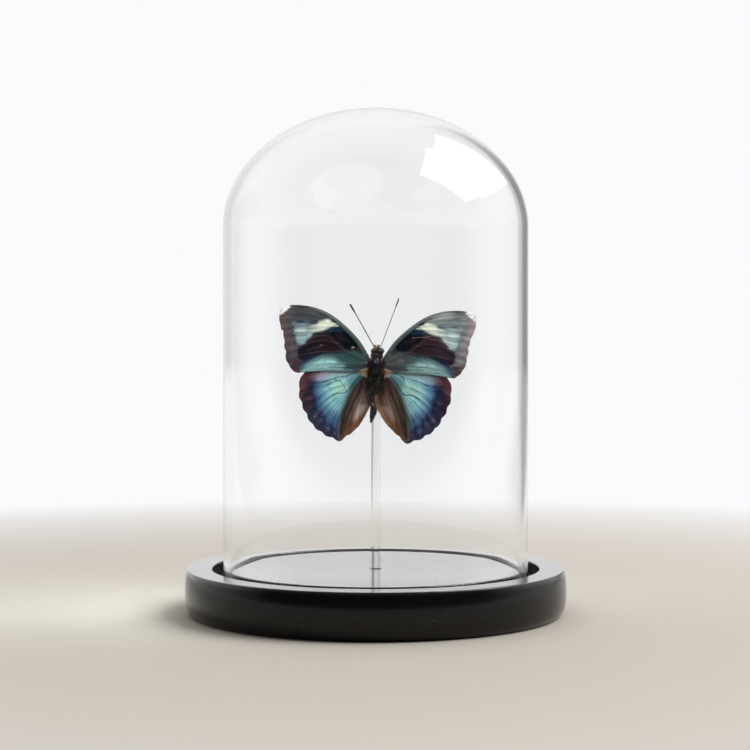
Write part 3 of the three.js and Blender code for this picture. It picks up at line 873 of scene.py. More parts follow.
def paint_front_edge(paint):
    """The forewing's dark rim, teal strip and brown vein."""
    x, fine = paint.x, paint.fine
    strip = paint.blend(paint.blend((62, 88, 90), (98, 122, 120), fade(x, 2, 7)),
                        paint.pick((120, 118, 110), (150, 150, 144)), fade(x, 13, 22))
    paint.patch((50, 58, 60), ((3.0, 2.6), (6.2, 7.4), (9.2, 10.9), (12.4, 13.6), (16, 16), (20.5, 18),
                (20.5, 18.8), (14.6, 16.3), (9.4, 12.4), (5.2, 8.2), (2.2, 3.6)), 0.25, 0.9, False)
    paint.stroke(strip, ((2.6, 3.5), (5.3, 7.75), (7.6, 10.3), (10.6, 12.75), (15.4, 16.1), (19.5, 17.9),
                 (24, 18.75)), 0.3, 0.9 * fade(x, 25, 18), 0.22)
    paint.stroke((54, 84, 88), ((3.6, 3.2), (5.2, 6.2), (7.4, 8.9), (10.4, 11.7), (13, 13.7)), 0.25, 0.75,
                 0.25)
    paint.stroke((150, 132, 108), ((3.9, 5.2), (4.8, 6.9), (6.4, 8.7)), 0.05, 0.45 * fade(fine, 0.3, 0.6))


def paint_fore_root(paint):
    """Tan root of the forewing and the few bare or pale marks near it, which differ between the wings; the
    whitest short stroke on the left wing is a painted glint.
    """
    x, fine = paint.x, paint.fine
    tan = paint.blend((244, 208, 172), (190, 144, 112), fade(fine + 0.2 * (x - 3.4), 0.3, 1.1))
    paint.patch(tan, ((2.3, -0.4), (3.4, -0.8), (5.5, -1.6), (4.6, -2.2), (2.3, -2.6)), 0.25, 0.95)
    if paint.side == "right":
        for line in (((6.0, 2.4), (6.9, 2.2), (8.0, 1.7)), ((6.8, 2.9), (7.2, 2.1), (7.4, 1.4)),
                     ((7.4, 2.6), (8.2, 2.5), (8.7, 2.0)), ((6.2, 3.6), (6.9, 3.0), (7.0, 2.5)),
                     ((7.9, 3.1), (8.4, 2.8), (8.6, 2.3))):
            paint.stroke((140, 114, 98), line, 0.05, 0.8 * fade(fine, 0.3, 0.6))
        paint.stroke((170, 150, 136), ((11.4, 9.9), (14, 10.15), (16.4, 10.35), (17.4, 10.6)), 0.03,
                     0.6 * fade(fine, 0.25, 0.5))
    else:
        paint.stroke((176, 150, 124), ((7.2, 6.0), (7.8, 6.3), (8.1, 6.0), (7.6, 5.7)), 0.14, 0.7)
        # A short whitish stroke by the root: a painted glint.
        paint.stroke((214, 202, 190), ((2.5, 2.0), (2.8, 1.7), (3.2, 1.3)), 0.1, 0.8)
        paint.stroke((142, 96, 66), ((17.6, 6.6), (18.3, 6.1), (18.4, 5.6)), 0.14,
                     0.6 * fade(fine, 0.35, 0.6), 0.4)
        paint.stroke((118, 84, 66), ((18.6, 5.8), (21, 5.2), (23.4, 4.1)), 0.04, 0.5 * fade(fine, 0.3, 0.6))


def hindwing_paint(points, side):
    """Upper side: turquoise disc that darkens to a navy and purple-brown margin, and a brown inner fold."""
    paint = Paint(points, HIND_FOCUS, side, 31)
    z = paint.z
    streaks, fine, cloud = paint.streaks, paint.fine, paint.cloud
    rim = np.array(((19.2, -1.2), (20.2, -4.5), (20.7, -8), (19.7, -12), (18.1, -15.8), (15.4, -18.9),
                   (12.6, -21.2), (10.8, -23)))
    disc = np.vstack([((19.2, 8.0),), rim, ((9.8, -28), (-12, -28), (-12, 8))])
    inner = depth_in(paint.feathered, disc)
    edge = np.array(((24.6, -4), (24.9, -8), (24.2, -12.2), (22.4, -16), (20.2, -19.4), (17.2, -21.8),
                    (13.2, -23.8), (10.6, -24.6)))
    margin = to_line(points, edge)[0]
    paint.lay(paint.pick((46, 31, 40), (40, 27, 38)))
    paint.lay(paint.pick((60, 50, 62), (50, 42, 56)), 0.5 * fade(streaks, 0.45, 0.7))
    paint.lay((40, 48, 68), 0.75 * fade(z, -12.5, -17))
    paint.patch((90, 56, 56), ((19.6, -2.2), (23.4, -2.6), (25, -6), (24.4, -9.5), (23, -8), (22.0, -5.4),
                (20.4, -4.2)), 0.9, 0.6)
    flecks = fade(fine, 0.6, 0.75) * fade(margin, 2.4, 0.8) * fade(z, -14.5, -10) * fade(cloud, 0.3, 0.6)
    paint.lay((150, 100, 74), paint.pick(0.62, 0.4) * flecks)
    paint.lay((32, 34, 56), fade(inner, -2.3, 0.3) * fade(z, -2.5, -7))
    paint.lay((58, 80, 114), fade(inner, paint.pick(0.1, 0.6), paint.pick(1.5, 2.0)) * fade(z, -2, -6))
    paint.lay((98, 144, 168), fade(inner, 1.3, 3.3))
    paint.lay((136, 188, 192), fade(inner, 2.8, 5.7))
    cool = fade(z, -13, -17.5)
    paint.lay(paint.pick((60, 92, 116), (60, 80, 100)), 0.85 * cool * fade(inner, 0.8, 3.0))
    paint.lay((56, 66, 88), 0.8 * fade(z, -16.5, -20.5) * fade(inner, 0.2, 1.8))
    paint.patch(paint.pick((162, 206, 190), (150, 190, 176)), ((8.6, -7), (9.4, -5.4), (11.6, -4.9),
                (13.6, -5.8), (14.4, -7.6), (12.6, -9.4), (10, -9)), 1.3, 0.85)
    paint.patch(paint.pick((62, 108, 114), (54, 82, 88)), ((4.0, -2.4), (7, -2.8), (9, -4.4), (9.2, -6.6),
                (7.6, -7.0), (5.6, -4.8)), 0.9, 0.72)
    paint.patch((150, 176, 180), ((7.4, -1.4), (12, -1.2), (17.5, -1.9), (16.6, -3.8), (12.4, -3.8),
                (9, -3.0)), 1.0, 0.8)
    sheen = paint.pick((172, 166, 178), (150, 158, 176))
    paint.patch(sheen, ((15.2, -2), (18.4, -2.0), (20.2, -3.2), (19.6, -4.8), (16.6, -4.6)), 0.9, 0.7)
    paint.patch((94, 76, 82), ((18.2, -2), (20.4, -2.2), (21.8, -4), (20.4, -5.4), (19.2, -4.2)), 0.8, 0.65)
    paint.lay((58, 112, 150), 0.5 * fade(fine, 0.5, 0.7) * fade(inner, 4.5, 1.0) * fade(inner, 0.2, 1.0))
    paint.lay((34, 66, 88), 0.3 * fade(streaks, 0.54, 0.66) * fade(inner, 1.0, 3.0))
    paint.lay((30, 44, 58), 0.5 * fade(fine, 0.7, 0.78) * fade(streaks, 0.4, 0.6) * fade(inner, 0.0, 1.5))
    paint_spots(paint)
    for width, cover, line in HIND_SCRATCHES[side]:
        paint.stroke((38, 56, 60), line, width, cover * fade(fine, 0.1, 0.4), 0.12)
    paint_fold(paint)
    tan = paint.blend((244, 208, 174), (196, 152, 120), fade(fine, 0.3, 0.8))
    root = ((2.0, 0.0), (3.4, -0.3), (5.9, -1.35), (4.6, -2.3), (3.4, -3.3), (2.2, -3.5))
    paint.lay(tan, 0.95 * paint.within(root, 0.22, False))
    # A thin whitish line along the tan root's edge: a painted glint on its vein.
    paint.stroke((222, 208, 188), ((5.6, -1.9), (4.8, -2.6), (4.0, -3.2)), 0.05, 0.8)
    return finished_paint(paint, HIND_VEINS, (24, 28, 40), 0.85)


def paint_spots(paint):
    """Spots between the hindwing's veins, inside the margin, and the dark rays beside them."""
    for spot, width, colour in (((18.3, -15.3), 0.8, (58, 58, 86)), ((19.2, -16.7), 0.55, (92, 78, 92)),
                                ((17.2, -18.2), 0.9, (56, 60, 86)), ((15.2, -19.6), 0.9, (56, 66, 96)),
                                ((14.8, -20.7), 0.6, (70, 88, 122)), ((12.4, -21.7), 0.8, (64, 64, 90)),
                                ((11.2, -22.9), 0.7, (84, 78, 98)), ((21.1, -11.3), 0.6, (66, 52, 74))):
        gap = np.hypot(paint.feathered[:, 0] - spot[0], paint.feathered[:, 1] - spot[1])
        paint.lay(colour, 0.85 * fade(gap, width * 1.5, width * 0.3))
    if paint.side == "left":
        for spot, width in (((14.2, -5.6), 0.35), ((15.3, -6.2), 0.4), ((15.9, -6.9), 0.3),
                            ((13.2, -5.1), 0.25)):
            gap = np.hypot(*(paint.points - np.array(spot)).T)
            paint.lay((60, 84, 96), 0.6 * fade(gap, width * 1.6, width * 0.4))
    for far in ((22.6, -7.6), (22.6, -9.6), (21.6, -11.8), (21.0, -13.6), (19.6, -15.4), (18.6, -17.4),
                (17.0, -18.8), (15.8, -20.2), (14.2, -21), (12.9, -21.6), (11.8, -22.2)):
        start = tuple(middle + 0.52 * (end - middle) for middle, end in zip(HIND_FOCUS, far))
        bow = ((start[0] + far[0]) / 2 + 0.25, (start[1] + far[1]) / 2 + 0.3)
        paint.stroke((26, 38, 58), (start, bow, far), 0.05, 0.75 * fade(paint.streaks, 0.25, 0.5), 0.12)


def paint_fold(paint):
    """The hindwing's inner fold beside the abdomen: olive-dark band, satin brown with paler patches of
    painted highlight from its sheen, and a tawny inner edge.
    """
    fine, streaks = paint.fine, paint.streaks
    paint.patch((42, 62, 62), ((3.4, -2.4), (6.0, -3.6), (8.4, -7.2), (10.2, -11.6), (11.6, -16.4),
                (12.0, -20.4), (9.4, -20), (5.4, -7)), 0.7, 0.8)
    fold = ((3.2, -2.6), (4.3, -3.5), (6.4, -6.1), (8.3, -9.3), (9.7, -13), (11.0, -17), (11.4, -20.5),
            (10.8, -25), (7, -25), (-2, -18), (-1, -2.2))
    paint.patch((86, 66, 56), fold, 0.22, 1.0, False)
    # The two paler pinkish patches in the fold's middle are painted highlight of its satin sheen.
    paint.patch(paint.pick((176, 150, 144), (140, 112, 102)), ((1.6, -7), (3.8, -7.4), (5.4, -11),
                (6.4, -15), (6.4, -18), (4.2, -16), (2.4, -12.4)), 1.2, 0.9)
    paint.patch(paint.pick((192, 174, 172), (150, 130, 126)), ((3.0, -10), (4.3, -10.6), (5.2, -14),
                (4.8, -15.6), (3.8, -13.6)), 0.8, 0.5)
    paint.patch((40, 33, 30), ((3.4, -2.8), (6.4, -6.1), (8.2, -9.3), (9.7, -13), (10.9, -17.2),
                (11.0, -22.5), (9.7, -21.4), (8.1, -16.4), (6.4, -11.8), (4.4, -7.6), (3.2, -5)), 0.35,
                0.95)
    paint.patch((84, 76, 60), ((5.2, -6.6), (6.6, -8.8), (8.2, -12.4), (9.5, -16.8), (9.2, -16.6),
                (7.8, -12.8), (6.2, -9.4)), 0.25, 0.7)
    paint.patch((56, 36, 26), ((3.4, -6), (5.0, -9.2), (6.6, -13.6), (8.2, -18.6), (9.4, -22.6),
                (8.2, -20.4), (6.6, -15.8), (4.6, -10.4)), 0.4, 0.8)
    paint.patch((106, 70, 50), ((3.6, -15.5), (5.4, -17), (7.4, -19.4), (8.8, -21.8), (7.6, -22.4),
                (5.4, -20.2)), 0.8, 0.85)
    paint.patch((84, 48, 30), ((6.8, -17), (8.4, -19.4), (9.6, -22.2), (8.6, -22.6), (7.2, -20)), 0.5, 0.7)
    paint.patch((60, 42, 34), ((0.4, -2.2), (3.0, -3), (4.0, -6.6), (3.2, -8.6), (1.6, -7), (0.4, -6)), 0.8,
                0.85)
    rim = ((0.6, -9), (1.1, -12.2), (2.1, -14.9), (3.4, -17.4), (4.8, -19.3))
    paint.stroke(paint.pick((96, 68, 50), (172, 116, 64)), rim, paint.pick(0.4, 0.6), paint.pick(0.6, 0.85),
                 0.7)
    paint.patch(paint.pick((44, 30, 24), (92, 60, 42)),
                ((0.4, -7), (1.8, -8), (2.6, -11), (1.6, -12), (0.4, -10)), 0.5, paint.pick(0.8, 0.3))
    paint.lay((60, 42, 36), 0.3 * fade(fine, 0.5, 0.66) * paint.within(fold, 0.3, False))
    paint.lay((150, 122, 104), 0.18 * fade(streaks, 0.55, 0.7) * paint.within(fold, 0.3, False))


def finished_paint(paint, veins, vein_tone, cover):
    """Lines over the veins, then the small unevenness of the scales."""
    for line, start, end in veins:
        reach = 0.32 * (start + end)
        paint.stroke(vein_tone, line, reach, cover * (0.4 + 0.6 * fade(paint.streaks, 0.2, 0.6)), 0.09)
    spots = lattice(*np.round(paint.points / SPECK).astype(np.int64).T, 7)
    uneven = (0.8 + 0.4 * paint.streaks) * (0.87 + 0.26 * paint.fine) * (0.94 + 0.12 * spots)
    return np.clip(paint.colour * uneven[:, None] * WING_GAIN, 0, 0.93)


def underside_paint(points, side, veins, focus):
    """Guessed underside: dull olive-brown with a pale cross band and dark spots."""
    paint = Paint(points, focus, side, 71)
    x, z = points.T
    reach = np.hypot(x - 2, z + 1) + 2.0 * (paint.streaks - 0.5)
    paint.lay(paint.blend((112, 98, 66), (132, 110, 78), paint.cloud))
    paint.lay((150, 138, 104), 0.55 * fade(reach, 13.5, 15.5) * fade(reach, 20.5, 18))
    paint.lay((74, 58, 44), 0.7 * fade(reach, 20, 21.5) * fade(reach, 24.5, 22.5))
    paint.lay((88, 74, 52), 0.5 * fade(reach, 7.5, 9) * fade(reach, 11.5, 10))
    for spot in ((7, 6.2), (10, 8.6), (12.4, 9.6), (8, -3.4), (10.5, -5.2)):
        gap = np.hypot(x - spot[0], z - spot[1])
        paint.lay((46, 36, 30), 0.8 * fade(gap, 0.9, 0.45))
    return finished_paint(paint, veins, (78, 62, 46), 0.7)


def wing_scales(name, tints):
    """Matt scales in fine rows over the painted colours, with a faint sheen."""
    settings = {"Roughness": 0.6, "Specular IOR Level": 0.03}
    material, graph, shader = new_material(name, settings)
    rows = graph.noise(graph.place(9000), 1.0, 2.0, 0.6)
    specks = graph.cells(graph.place(6500))
    soft = graph.noise(graph.place(1300), 1.0, 3.0)
    painted = graph.attribute("paint")
    shade = graph.mix(graph.spread(rows, 0.25, 0.75), (0.78, 0.78, 0.78), (1.2, 1.2, 1.2))
    colour = graph.mix(1.0, painted, shade, "MULTIPLY")
    colour = graph.mix(graph.spread(soft, 0.4, 0.8, 0.0, 0.1), colour, tints)
    rough = graph.spread(soft, 0.3, 0.7, 0.46, 0.66)
    relief = graph.plus(rows, specks)
    link(graph, shader, Base_Color=colour, Roughness=rough, Normal=graph.bump(relief, 0.00003, 0.5))
    return material


def fringe(build, loop, first, last, depth_of, side_paint, seed):
    """Short hair-like scales along the outer margin, each a thin wedge."""
    line = even_steps(loop[first:last], FRINGE_STEP)
    ahead = unit_rows(np.gradient(line, axis=0))
    outwards = np.column_stack([-ahead[:, 1], ahead[:, 0]])
    index = np.arange(len(line))
    length = 0.05 + 0.11 * lattice(index, 0, seed)
    lean = 0.9 * (lattice(index, 0, seed + 1) - 0.5)
    tips = line + outwards * length[:, None] + ahead * (lean * length)[:, None]
    root = line - outwards * FRINGE_ROOT
    depths, colours = depth_of(root), side_paint(root)
    lift = 0.05 * (lattice(index, 0, seed + 2) - 0.5)
    points, faces, shades = [], [], []
    for k in index:
        width = FRINGE_WIDTH * ahead[k]
        base = len(points)
        points.append((root[k][0] - width[0], depths[k] + lift[k], root[k][1] - width[1]))
        points.append((root[k][0] + width[0], depths[k] + lift[k], root[k][1] + width[1]))
        points.append((root[k][0], depths[k] + lift[k] + 0.035, root[k][1]))
        points.append((tips[k][0], depths[k] + 3 * lift[k], tips[k][1]))
        faces += [tuple(base + i for i in face) for face in ((0, 1, 3), (1, 2, 3), (2, 0, 3), (1, 0, 2))]
        shades += [colours[k] * (0.75 + 0.5 * lattice(k, 0, seed + 3))] * 4
    build.add(points, faces, np.array(shades))


def build_wing(kind, side, material, slot):
    """One wing: a thin closed sheet, raised veins on both faces, and fringe scales."""
    fore = kind == "forewing"
    loop = fore_loop(side) if fore else hind_loop(side)
    veins, line, seed = (FORE_VEINS, FORE_LINE, 3) if fore else (HIND_VEINS, HIND_LINE, 23)
    focus = FORE_FOCUS if fore else HIND_FOCUS
    upper = forewing_paint if fore else hindwing_paint
    if side == "right":
        seed += 100

    def depth_of(points):
        return wing_depth(points, line, veins, seed)

    count = len(loop)
    flat = np.vstack([loop, sheet_points(loop)])
    edges = [(i, (i + 1) % count) for i in range(count)]
    spots, _, faces, *_ = delaunay_2d_cdt([Vector(p) for p in flat], edges, [], 1, 1e-5)
    spots = np.array([tuple(p) for p in spots])
    faces = [tuple(f) for f in faces]
    border = {}
    for face in faces:
        for a, b in zip(face, face[1:] + face[:1]):
            if border.pop((b, a), None) is None:
                border[a, b] = True
    depths = depth_of(spots)
    total = len(spots)
    front = np.column_stack([spots[:, 0], depths - SHEET_THICKNESS / 2, spots[:, 1]])
    back = np.column_stack([spots[:, 0], depths + SHEET_THICKNESS / 2, spots[:, 1]])
    closed = list(faces) + [tuple(i + total for i in reversed(face)) for face in faces]
    closed += [(b, a, a + total, b + total) for a, b in border]
    build = Build()
    colours = np.vstack([upper(spots, side), underside_paint(spots, side, veins, focus)])
    build.add(np.vstack([front, back]), closed, colours)
    for vein, start, end in veins:
        add_vein(build, vein, start, end, depth_of, upper, side, veins, focus)
    if fore:
        first = len(smooth_line(FORE_EDGE, OUTLINE_STEP)) - 6
        last = count - len(smooth_line(FORE_HEM, OUTLINE_STEP))
    else:
        first = len(smooth_line(HIND_EDGE, OUTLINE_STEP)) - 30
        last = count - 70
    fringe(build, loop, first, last, depth_of, lambda p: upper(p, side), seed)
    return build.piece(f"{kind}_{side}_scaled", material, slot, [f"{kind}_{side}"], SIDES[side])


def add_vein(build, vein, start, end, depth_of, upper, side, veins, focus):
    line = smooth_line(vein, 0.3)
    depths = depth_of(line)
    radii = np.linspace(start, end, len(line)) * VEIN_HEIGHT
    bar, faces = tube(np.column_stack([line[:, 0], depths, line[:, 1]]), radii, VEIN_SIDES)
    flat = bar[:, [0, 2]]
    middle = np.repeat(depths, VEIN_SIDES)[:, None]
    colours = np.where(bar[:, 1:2] < middle, upper(flat, side), underside_paint(flat, side, veins, focus))
    build.add(bar, faces, colours)


def build_wings():
    fore = wing_scales("forewing_scales", (0.016, 0.013, 0.012))
    hind = wing_scales("hindwing_scales", (0.01, 0.013, 0.016))
    for side in SIDES:
        build_wing("forewing", side, fore, "forewing_scales")
        build_wing("hindwing", side, hind, "hindwing_scales")


# ---------- body ----------

FUR_COUNTS = {  # hairs tried; those that fall outside their region are left out
    "thorax": 8200, "mat": 3800, "abdomen": 4200, "head": 2400, "neck": 1300, "palp": 620, "leg": 150,
    "wing_root": 1500, "fold": 1500, "edge": 9000,
}
THORAX_HALF = np.array((2.15, 2.7, 3.7))
THORAX_MIDDLE = np.array((0, -5.6, 0))
STRIP_X, STRIP_HALF = -0.17, 1.3  # bare glossy strip down the middle of the back
HEAD_MIDDLE = np.array((0.2, -5.9, 5.35))
ABDOMEN_PATH = ((-0.45, -4.1), (-0.6, -5.9), (-0.78, -9.8), (-0.66, -11.6), (-0.34, -13.2), (-0.36, -14.8),
                (-0.62, -16.2), (-0.9, -18.0))
ABDOMEN_RADII = ((0, 0.35), (0.5, 0.85), (1.6, 1.05), (3.4, 0.98), (4.8, 0.84), (5.6, 0.7), (6.3, 0.78),
                 (7.4, 0.72), (8.6, 0.98), (10.6, 0.92), (12.2, 0.7), (13.3, 0.46), (14.1, 0.14))
ABDOMEN_DEPTH = -5.4  # y of its middle
ABDOMEN_SIDES = 48
ABDOMEN_RING = 1.45  # length of one ring
ANTENNA_LOOKS = {  # radius, widening of the club, strength of the rings, and the two tones
    "left": (0.165, 0.16, 0.55, (13, 11, 12), (104, 96, 88)),
    "right": (0.12, 0.1, 0.9, (44, 42, 42), (168, 164, 158)),
}
ANTENNAE = {"left": ((-0.9, -6.3, 6.6), (-9.2, -7.2, 20.2)), "right": ((1.25, -6.3, 6.6), (6.6, -6.8, 22.5))}
EYES = (  # place from the head's middle, and half size
    ((-1.0, -0.25, -0.3), (1.1, 1.15, 1.15)),
    ((1.1, -0.4, -0.1), (1.2, 1.2, 1.15)),
)
PALP = ((0, -6.2, 5.9), (0.03, -6.3, 6.4), (0.05, -6.2, 6.8), (0.1, -6.1, 7.15))  # outwards, y and z
PROBOSCIS_OUTER, PROBOSCIS_INNER, PROBOSCIS_TURNS = 0.95, 0.3, 1.75
LEGS = {  # hip, knee, ankle and claw of each right leg
    "foreleg": ((0.6, -2.6, 3), (1.3, -2.1, 4), (1.1, -2.3, 4.9)),
    "midleg": ((2, -2.6, 1), (3.4, -1.2, 2.3), (2.9, 0, -1.2), (2.5, 0.4, -4.2)),
    "hindleg": ((1.9, -2.5, -2), (3.1, -1.3, -3.4), (2.7, -0.6, -6.6), (2.2, -0.4, -9)),
}


def ball(middle, half, around, along, bulge=None):
    """An ellipsoid's points and faces, with its poles on z.

    bulge gives each direction's extra height in mm."""
    path = [(math.sin(a), -math.cos(a)) for a in np.linspace(0, math.pi, along + 1)]
    path[0], path[-1] = (0, -1), (0, 1)
    points, faces = turned(path, around)
    normals = unit_rows(points / np.asarray(half))
    shaped = points * half
    if bulge is not None:
        shaped = shaped + normals * bulge(points, shaped)[:, None]
    return shaped + middle, faces


def hairs(build, roots, ways, lengths, colours, width, droop, seed):
    """Tapered three-sided hairs in two stretches, each from its root along its way and then drooping."""
    count = len(roots)
    ways = unit_rows(ways)
    random = np.random.default_rng(seed)
    side = unit_rows(np.cross(ways, random.normal(size=(count, 3))))
    up = np.cross(ways, side)
    lengths = np.asarray(lengths)[:, None]
    middle = roots + ways * lengths * 0.5 + np.asarray(droop) * lengths * 0.1
    tip = roots + ways * lengths * 0.9 + np.asarray(droop) * lengths * 0.45
    points = np.empty((count, 7, 3))
    for k in range(3):
        out = math.cos(TURN * k / 3) * side + math.sin(TURN * k / 3) * up
        points[:, k] = roots + out * width
        points[:, k + 3] = middle + out * width * 0.62
    points[:, 6] = tip
    faces = []
    for base in range(0, 7 * count, 7):
        for k in range(3):
            after = (k + 1) % 3
            faces.append((base + k, base + after, base + 3 + after, base + 3 + k))
            faces.append((base + 3 + k, base + 3 + after, base + 6))
        faces.append((base + 2, base + 1, base))
    shades = np.repeat(np.broadcast_to(colours, (count, 3)), 7, axis=0)
    shades = shades * np.tile((0.8, 0.8, 0.8, 1.0, 1.0, 1.0, 1.3), count)[:, None]
    build.add(points.reshape(-1, 3), faces, np.clip(shades, 0, 1), 0.25)


def scattered(middle, half, count, seed):
    """Random points on an ellipsoid with their outward directions."""
    random = np.random.default_rng(seed)
    way = unit_rows(random.normal(size=(count, 3)))
    return way * half + middle, unit_rows(way / np.asarray(half)), random.random((count, 4))


def clumps(roots, seed):
    """Hair in darker and lighter clumps, half a millimetre wide."""
    lump = layered_noise(roots[:, 0] * 2.1 + roots[:, 1], roots[:, 2] * 1.6, seed, 2)
    return (0.3 + 1.5 * fade(lump, 0.3, 0.72))[:, None]


def spokes(angle):
    """Level directions, one for each angle."""
    return np.column_stack([np.cos(angle), np.sin(angle), np.zeros(len(angle))])


def between(first, second, part):
    """Colours from one tone to another."""
    part = np.asarray(part)[:, None]
    return tone(first) * (1 - part) + tone(second) * part


def body_material(name, slot_rough, hair):
    """Painted cuticle or hair: the gloss is painted too, over fine pits or strands."""
    settings = {"Roughness": 0.5, "Specular IOR Level": 0.3 if hair else 0.5}
    material, graph, shader = new_material(name, settings)
    pits = graph.noise(graph.place(7000), 1.0, 3.0, 0.6)
    cells = graph.cells(graph.place(16000))
    cloud = graph.noise(graph.place(1400), 1.0, 3.0)
    shade = graph.mix(graph.spread(cloud, 0.3, 0.7), (0.6, 0.57, 0.56), (1.05, 1.02, 0.98))
    colour = graph.mix(1.0, graph.attribute("paint"), shade, "MULTIPLY")
    rough = graph.spread(graph.attribute("paint", "Alpha"), 0.0, 1.0, slot_rough, 0.12)
    rough = graph.plus(rough, graph.spread(pits, 0.3, 0.7, -0.04, 0.06))
    relief = graph.plus(pits, graph.times(cells, 0.7))
    link(graph, shader, Base_Color=colour, Roughness=rough, Normal=graph.bump(relief, 0.00003, 0.35))
    return material


def thorax_bulge(unit, shaped):
    """Furrows beside the glossy strip and along its middle, on the side that faces the front."""
    front = fade(-unit[:, 1], 0.05, 0.5)
    x = shaped[:, 0] - STRIP_X
    furrow = -0.16 * np.exp(-(((np.abs(x) - STRIP_HALF) / 0.16) ** 2))
    middle = -0.05 * np.exp(-((x / 0.09) ** 2)) * fade(unit[:, 2], -0.4, 0.2)
    strip = 0.16 * fade(np.abs(x), STRIP_HALF + 0.1, STRIP_HALF * 0.4)
    uneven = layered_noise(x * 3.2, shaped[:, 2] * 3.4, 6, 2)
    strip = strip + 0.1 * uneven * fade(np.abs(x), STRIP_HALF, STRIP_HALF * 0.7)
    lumps = 0.12 * (layered_noise(shaped[:, 0] * 1.6 + 9, shaped[:, 2] * 1.3, 5, 3) - 0.5)
    return front * (furrow + middle + strip) + lumps


def build_thorax(material):
    build = Build()
    points, faces = ball(THORAX_MIDDLE, THORAX_HALF, 128, 96, thorax_bulge)
    x, y, z = (points - THORAX_MIDDLE).T
    strip = fade(np.abs(x - STRIP_X), STRIP_HALF + 0.05, STRIP_HALF - 0.2)
    strip = strip * fade(-y, 0.2, 0.9) * fade(z, 3.3, 2.7)
    cloud = layered_noise(x * 1.7, z * 1.7, 15, 3)
    colours = between((26, 19, 16), (52, 38, 29), cloud) * (1 - strip[:, None])
    colours += between((3, 4, 8), (11, 15, 28), cloud) * strip[:, None]
    build.add(points, faces, colours, 0.1 + 0.85 * strip)
    shield, faces = ball((-0.62, -6.75, -4.05), (0.85, 0.95, 0.6), 48, 32)
    build.add(shield, faces, tone((6, 8, 15)), 1.0)
    build.piece("thorax_back", material, "body_fur", ["thorax"])


def build_thorax_fur(material):
    build = Build()
    roots, ways, luck = scattered(THORAX_MIDDLE, THORAX_HALF * 0.985, FUR_COUNTS["thorax"], 51)
    x, y, z = (roots - THORAX_MIDDLE).T
    gap = np.abs(x - STRIP_X)
    bare = (gap < STRIP_HALF * (0.78 + 0.3 * luck[:, 3])) & (y < 0) & (z < 2.9 + 0.5 * luck[:, 0])
    kept = ~bare | (luck[:, 1] < 0.03)
    kept &= (y < 0.6) | (luck[:, 2] < 0.4)
    roots, ways, luck, z, gap = roots[kept], ways[kept], luck[kept], z[kept], gap[kept]
    comb = np.column_stack([0.5 * ways[:, 0], 0.2 * ways[:, 1], -0.75 + 0.35 * luck[:, 0]])
    comb[z > 2.4, 2] += 1.0
    tan = fade(luck[:, 1] + 0.25 * fade(gap, 1.3, 2.0), 0.72, 1.05)
    colours = between((20, 14, 13), (138, 98, 74), tan) * clumps(roots, 54)
    lengths = 0.42 + 0.5 * luck[:, 3]
    spread = np.random.default_rng(52).normal(size=roots.shape) * 0.28
    hairs(build, roots, ways * 0.75 + comb + spread, lengths, colours, 0.022, (0, 0, -0.5), 53)
    build.piece("thorax_fur", material, "body_fur")


def build_abdomen(material):
    """Ringed and slightly bent, with a scaled dusting and grey highlights of hair."""
    middle = smooth_line(ABDOMEN_PATH, 0.09)
    run = np.r_[0, np.cumsum(np.hypot(*np.diff(middle, axis=0).T))]
    stops, radii = np.array(ABDOMEN_RADII).T
    radius = np.interp(run, stops / stops[-1] * run[-1], radii)
    kernel = np.hanning(9) / np.hanning(9).sum()
    radius = np.convolve(np.pad(radius, 4, "edge"), kernel, "valid")
    ring = (run / ABDOMEN_RING) % 1.0
    furrow = 0.14 * np.exp(-((ring - 0.02) / 0.07) ** 2)
    radius = radius * (1 - furrow - 0.14 * np.exp(-((ring - 1.0) / 0.06) ** 2) + 0.05 * ring)
    radius = radius * (1 + 0.17 * fade(middle[:, 1], -12.0, -14.5))
    line = np.column_stack([middle[:, 0], np.full(len(middle), ABDOMEN_DEPTH), middle[:, 1]])
    points, faces = tube(line, radius, ABDOMEN_SIDES)
    dents = layered_noise(points[:, 0] * 1.7 + 3 * points[:, 1], points[:, 2] * 1.3, 62, 3) - 0.5
    points = points + (points - np.repeat(line, ABDOMEN_SIDES, axis=0)) * 0.4 * dents[:, None]
    station = np.repeat(np.arange(len(line)), ABDOMEN_SIDES)
    cloud = layered_noise(points[:, 0] * 3, points[:, 2] * 3, 61, 3)
    colours = between((14, 11, 11), (58, 44, 38), cloud)
    pale = (0.35 * fade(ring, 0.8, 0.98))[station]
    colours = colours * (1 - pale[:, None]) + tone((128, 112, 98)) * pale[:, None]
    build = Build()
    build.add(points, faces, colours, 0.75)
    for side in (-1, 1):
        hook = ((-1.0 + 0.3 * side, -5.5, -17.9), (-1.0 + 0.16 * side, -5.55, -18.25))
        bar, bar_faces = tube(((-0.95 + 0.22 * side, ABDOMEN_DEPTH, -17.5), *hook), (0.2, 0.15, 0.04), 10)
        build.add(bar, bar_faces, tone((52, 42, 32)), 0.3)
    build.piece("abdomen_ringed", material, "body_fur", ["abdomen"])
    return middle, run, radius


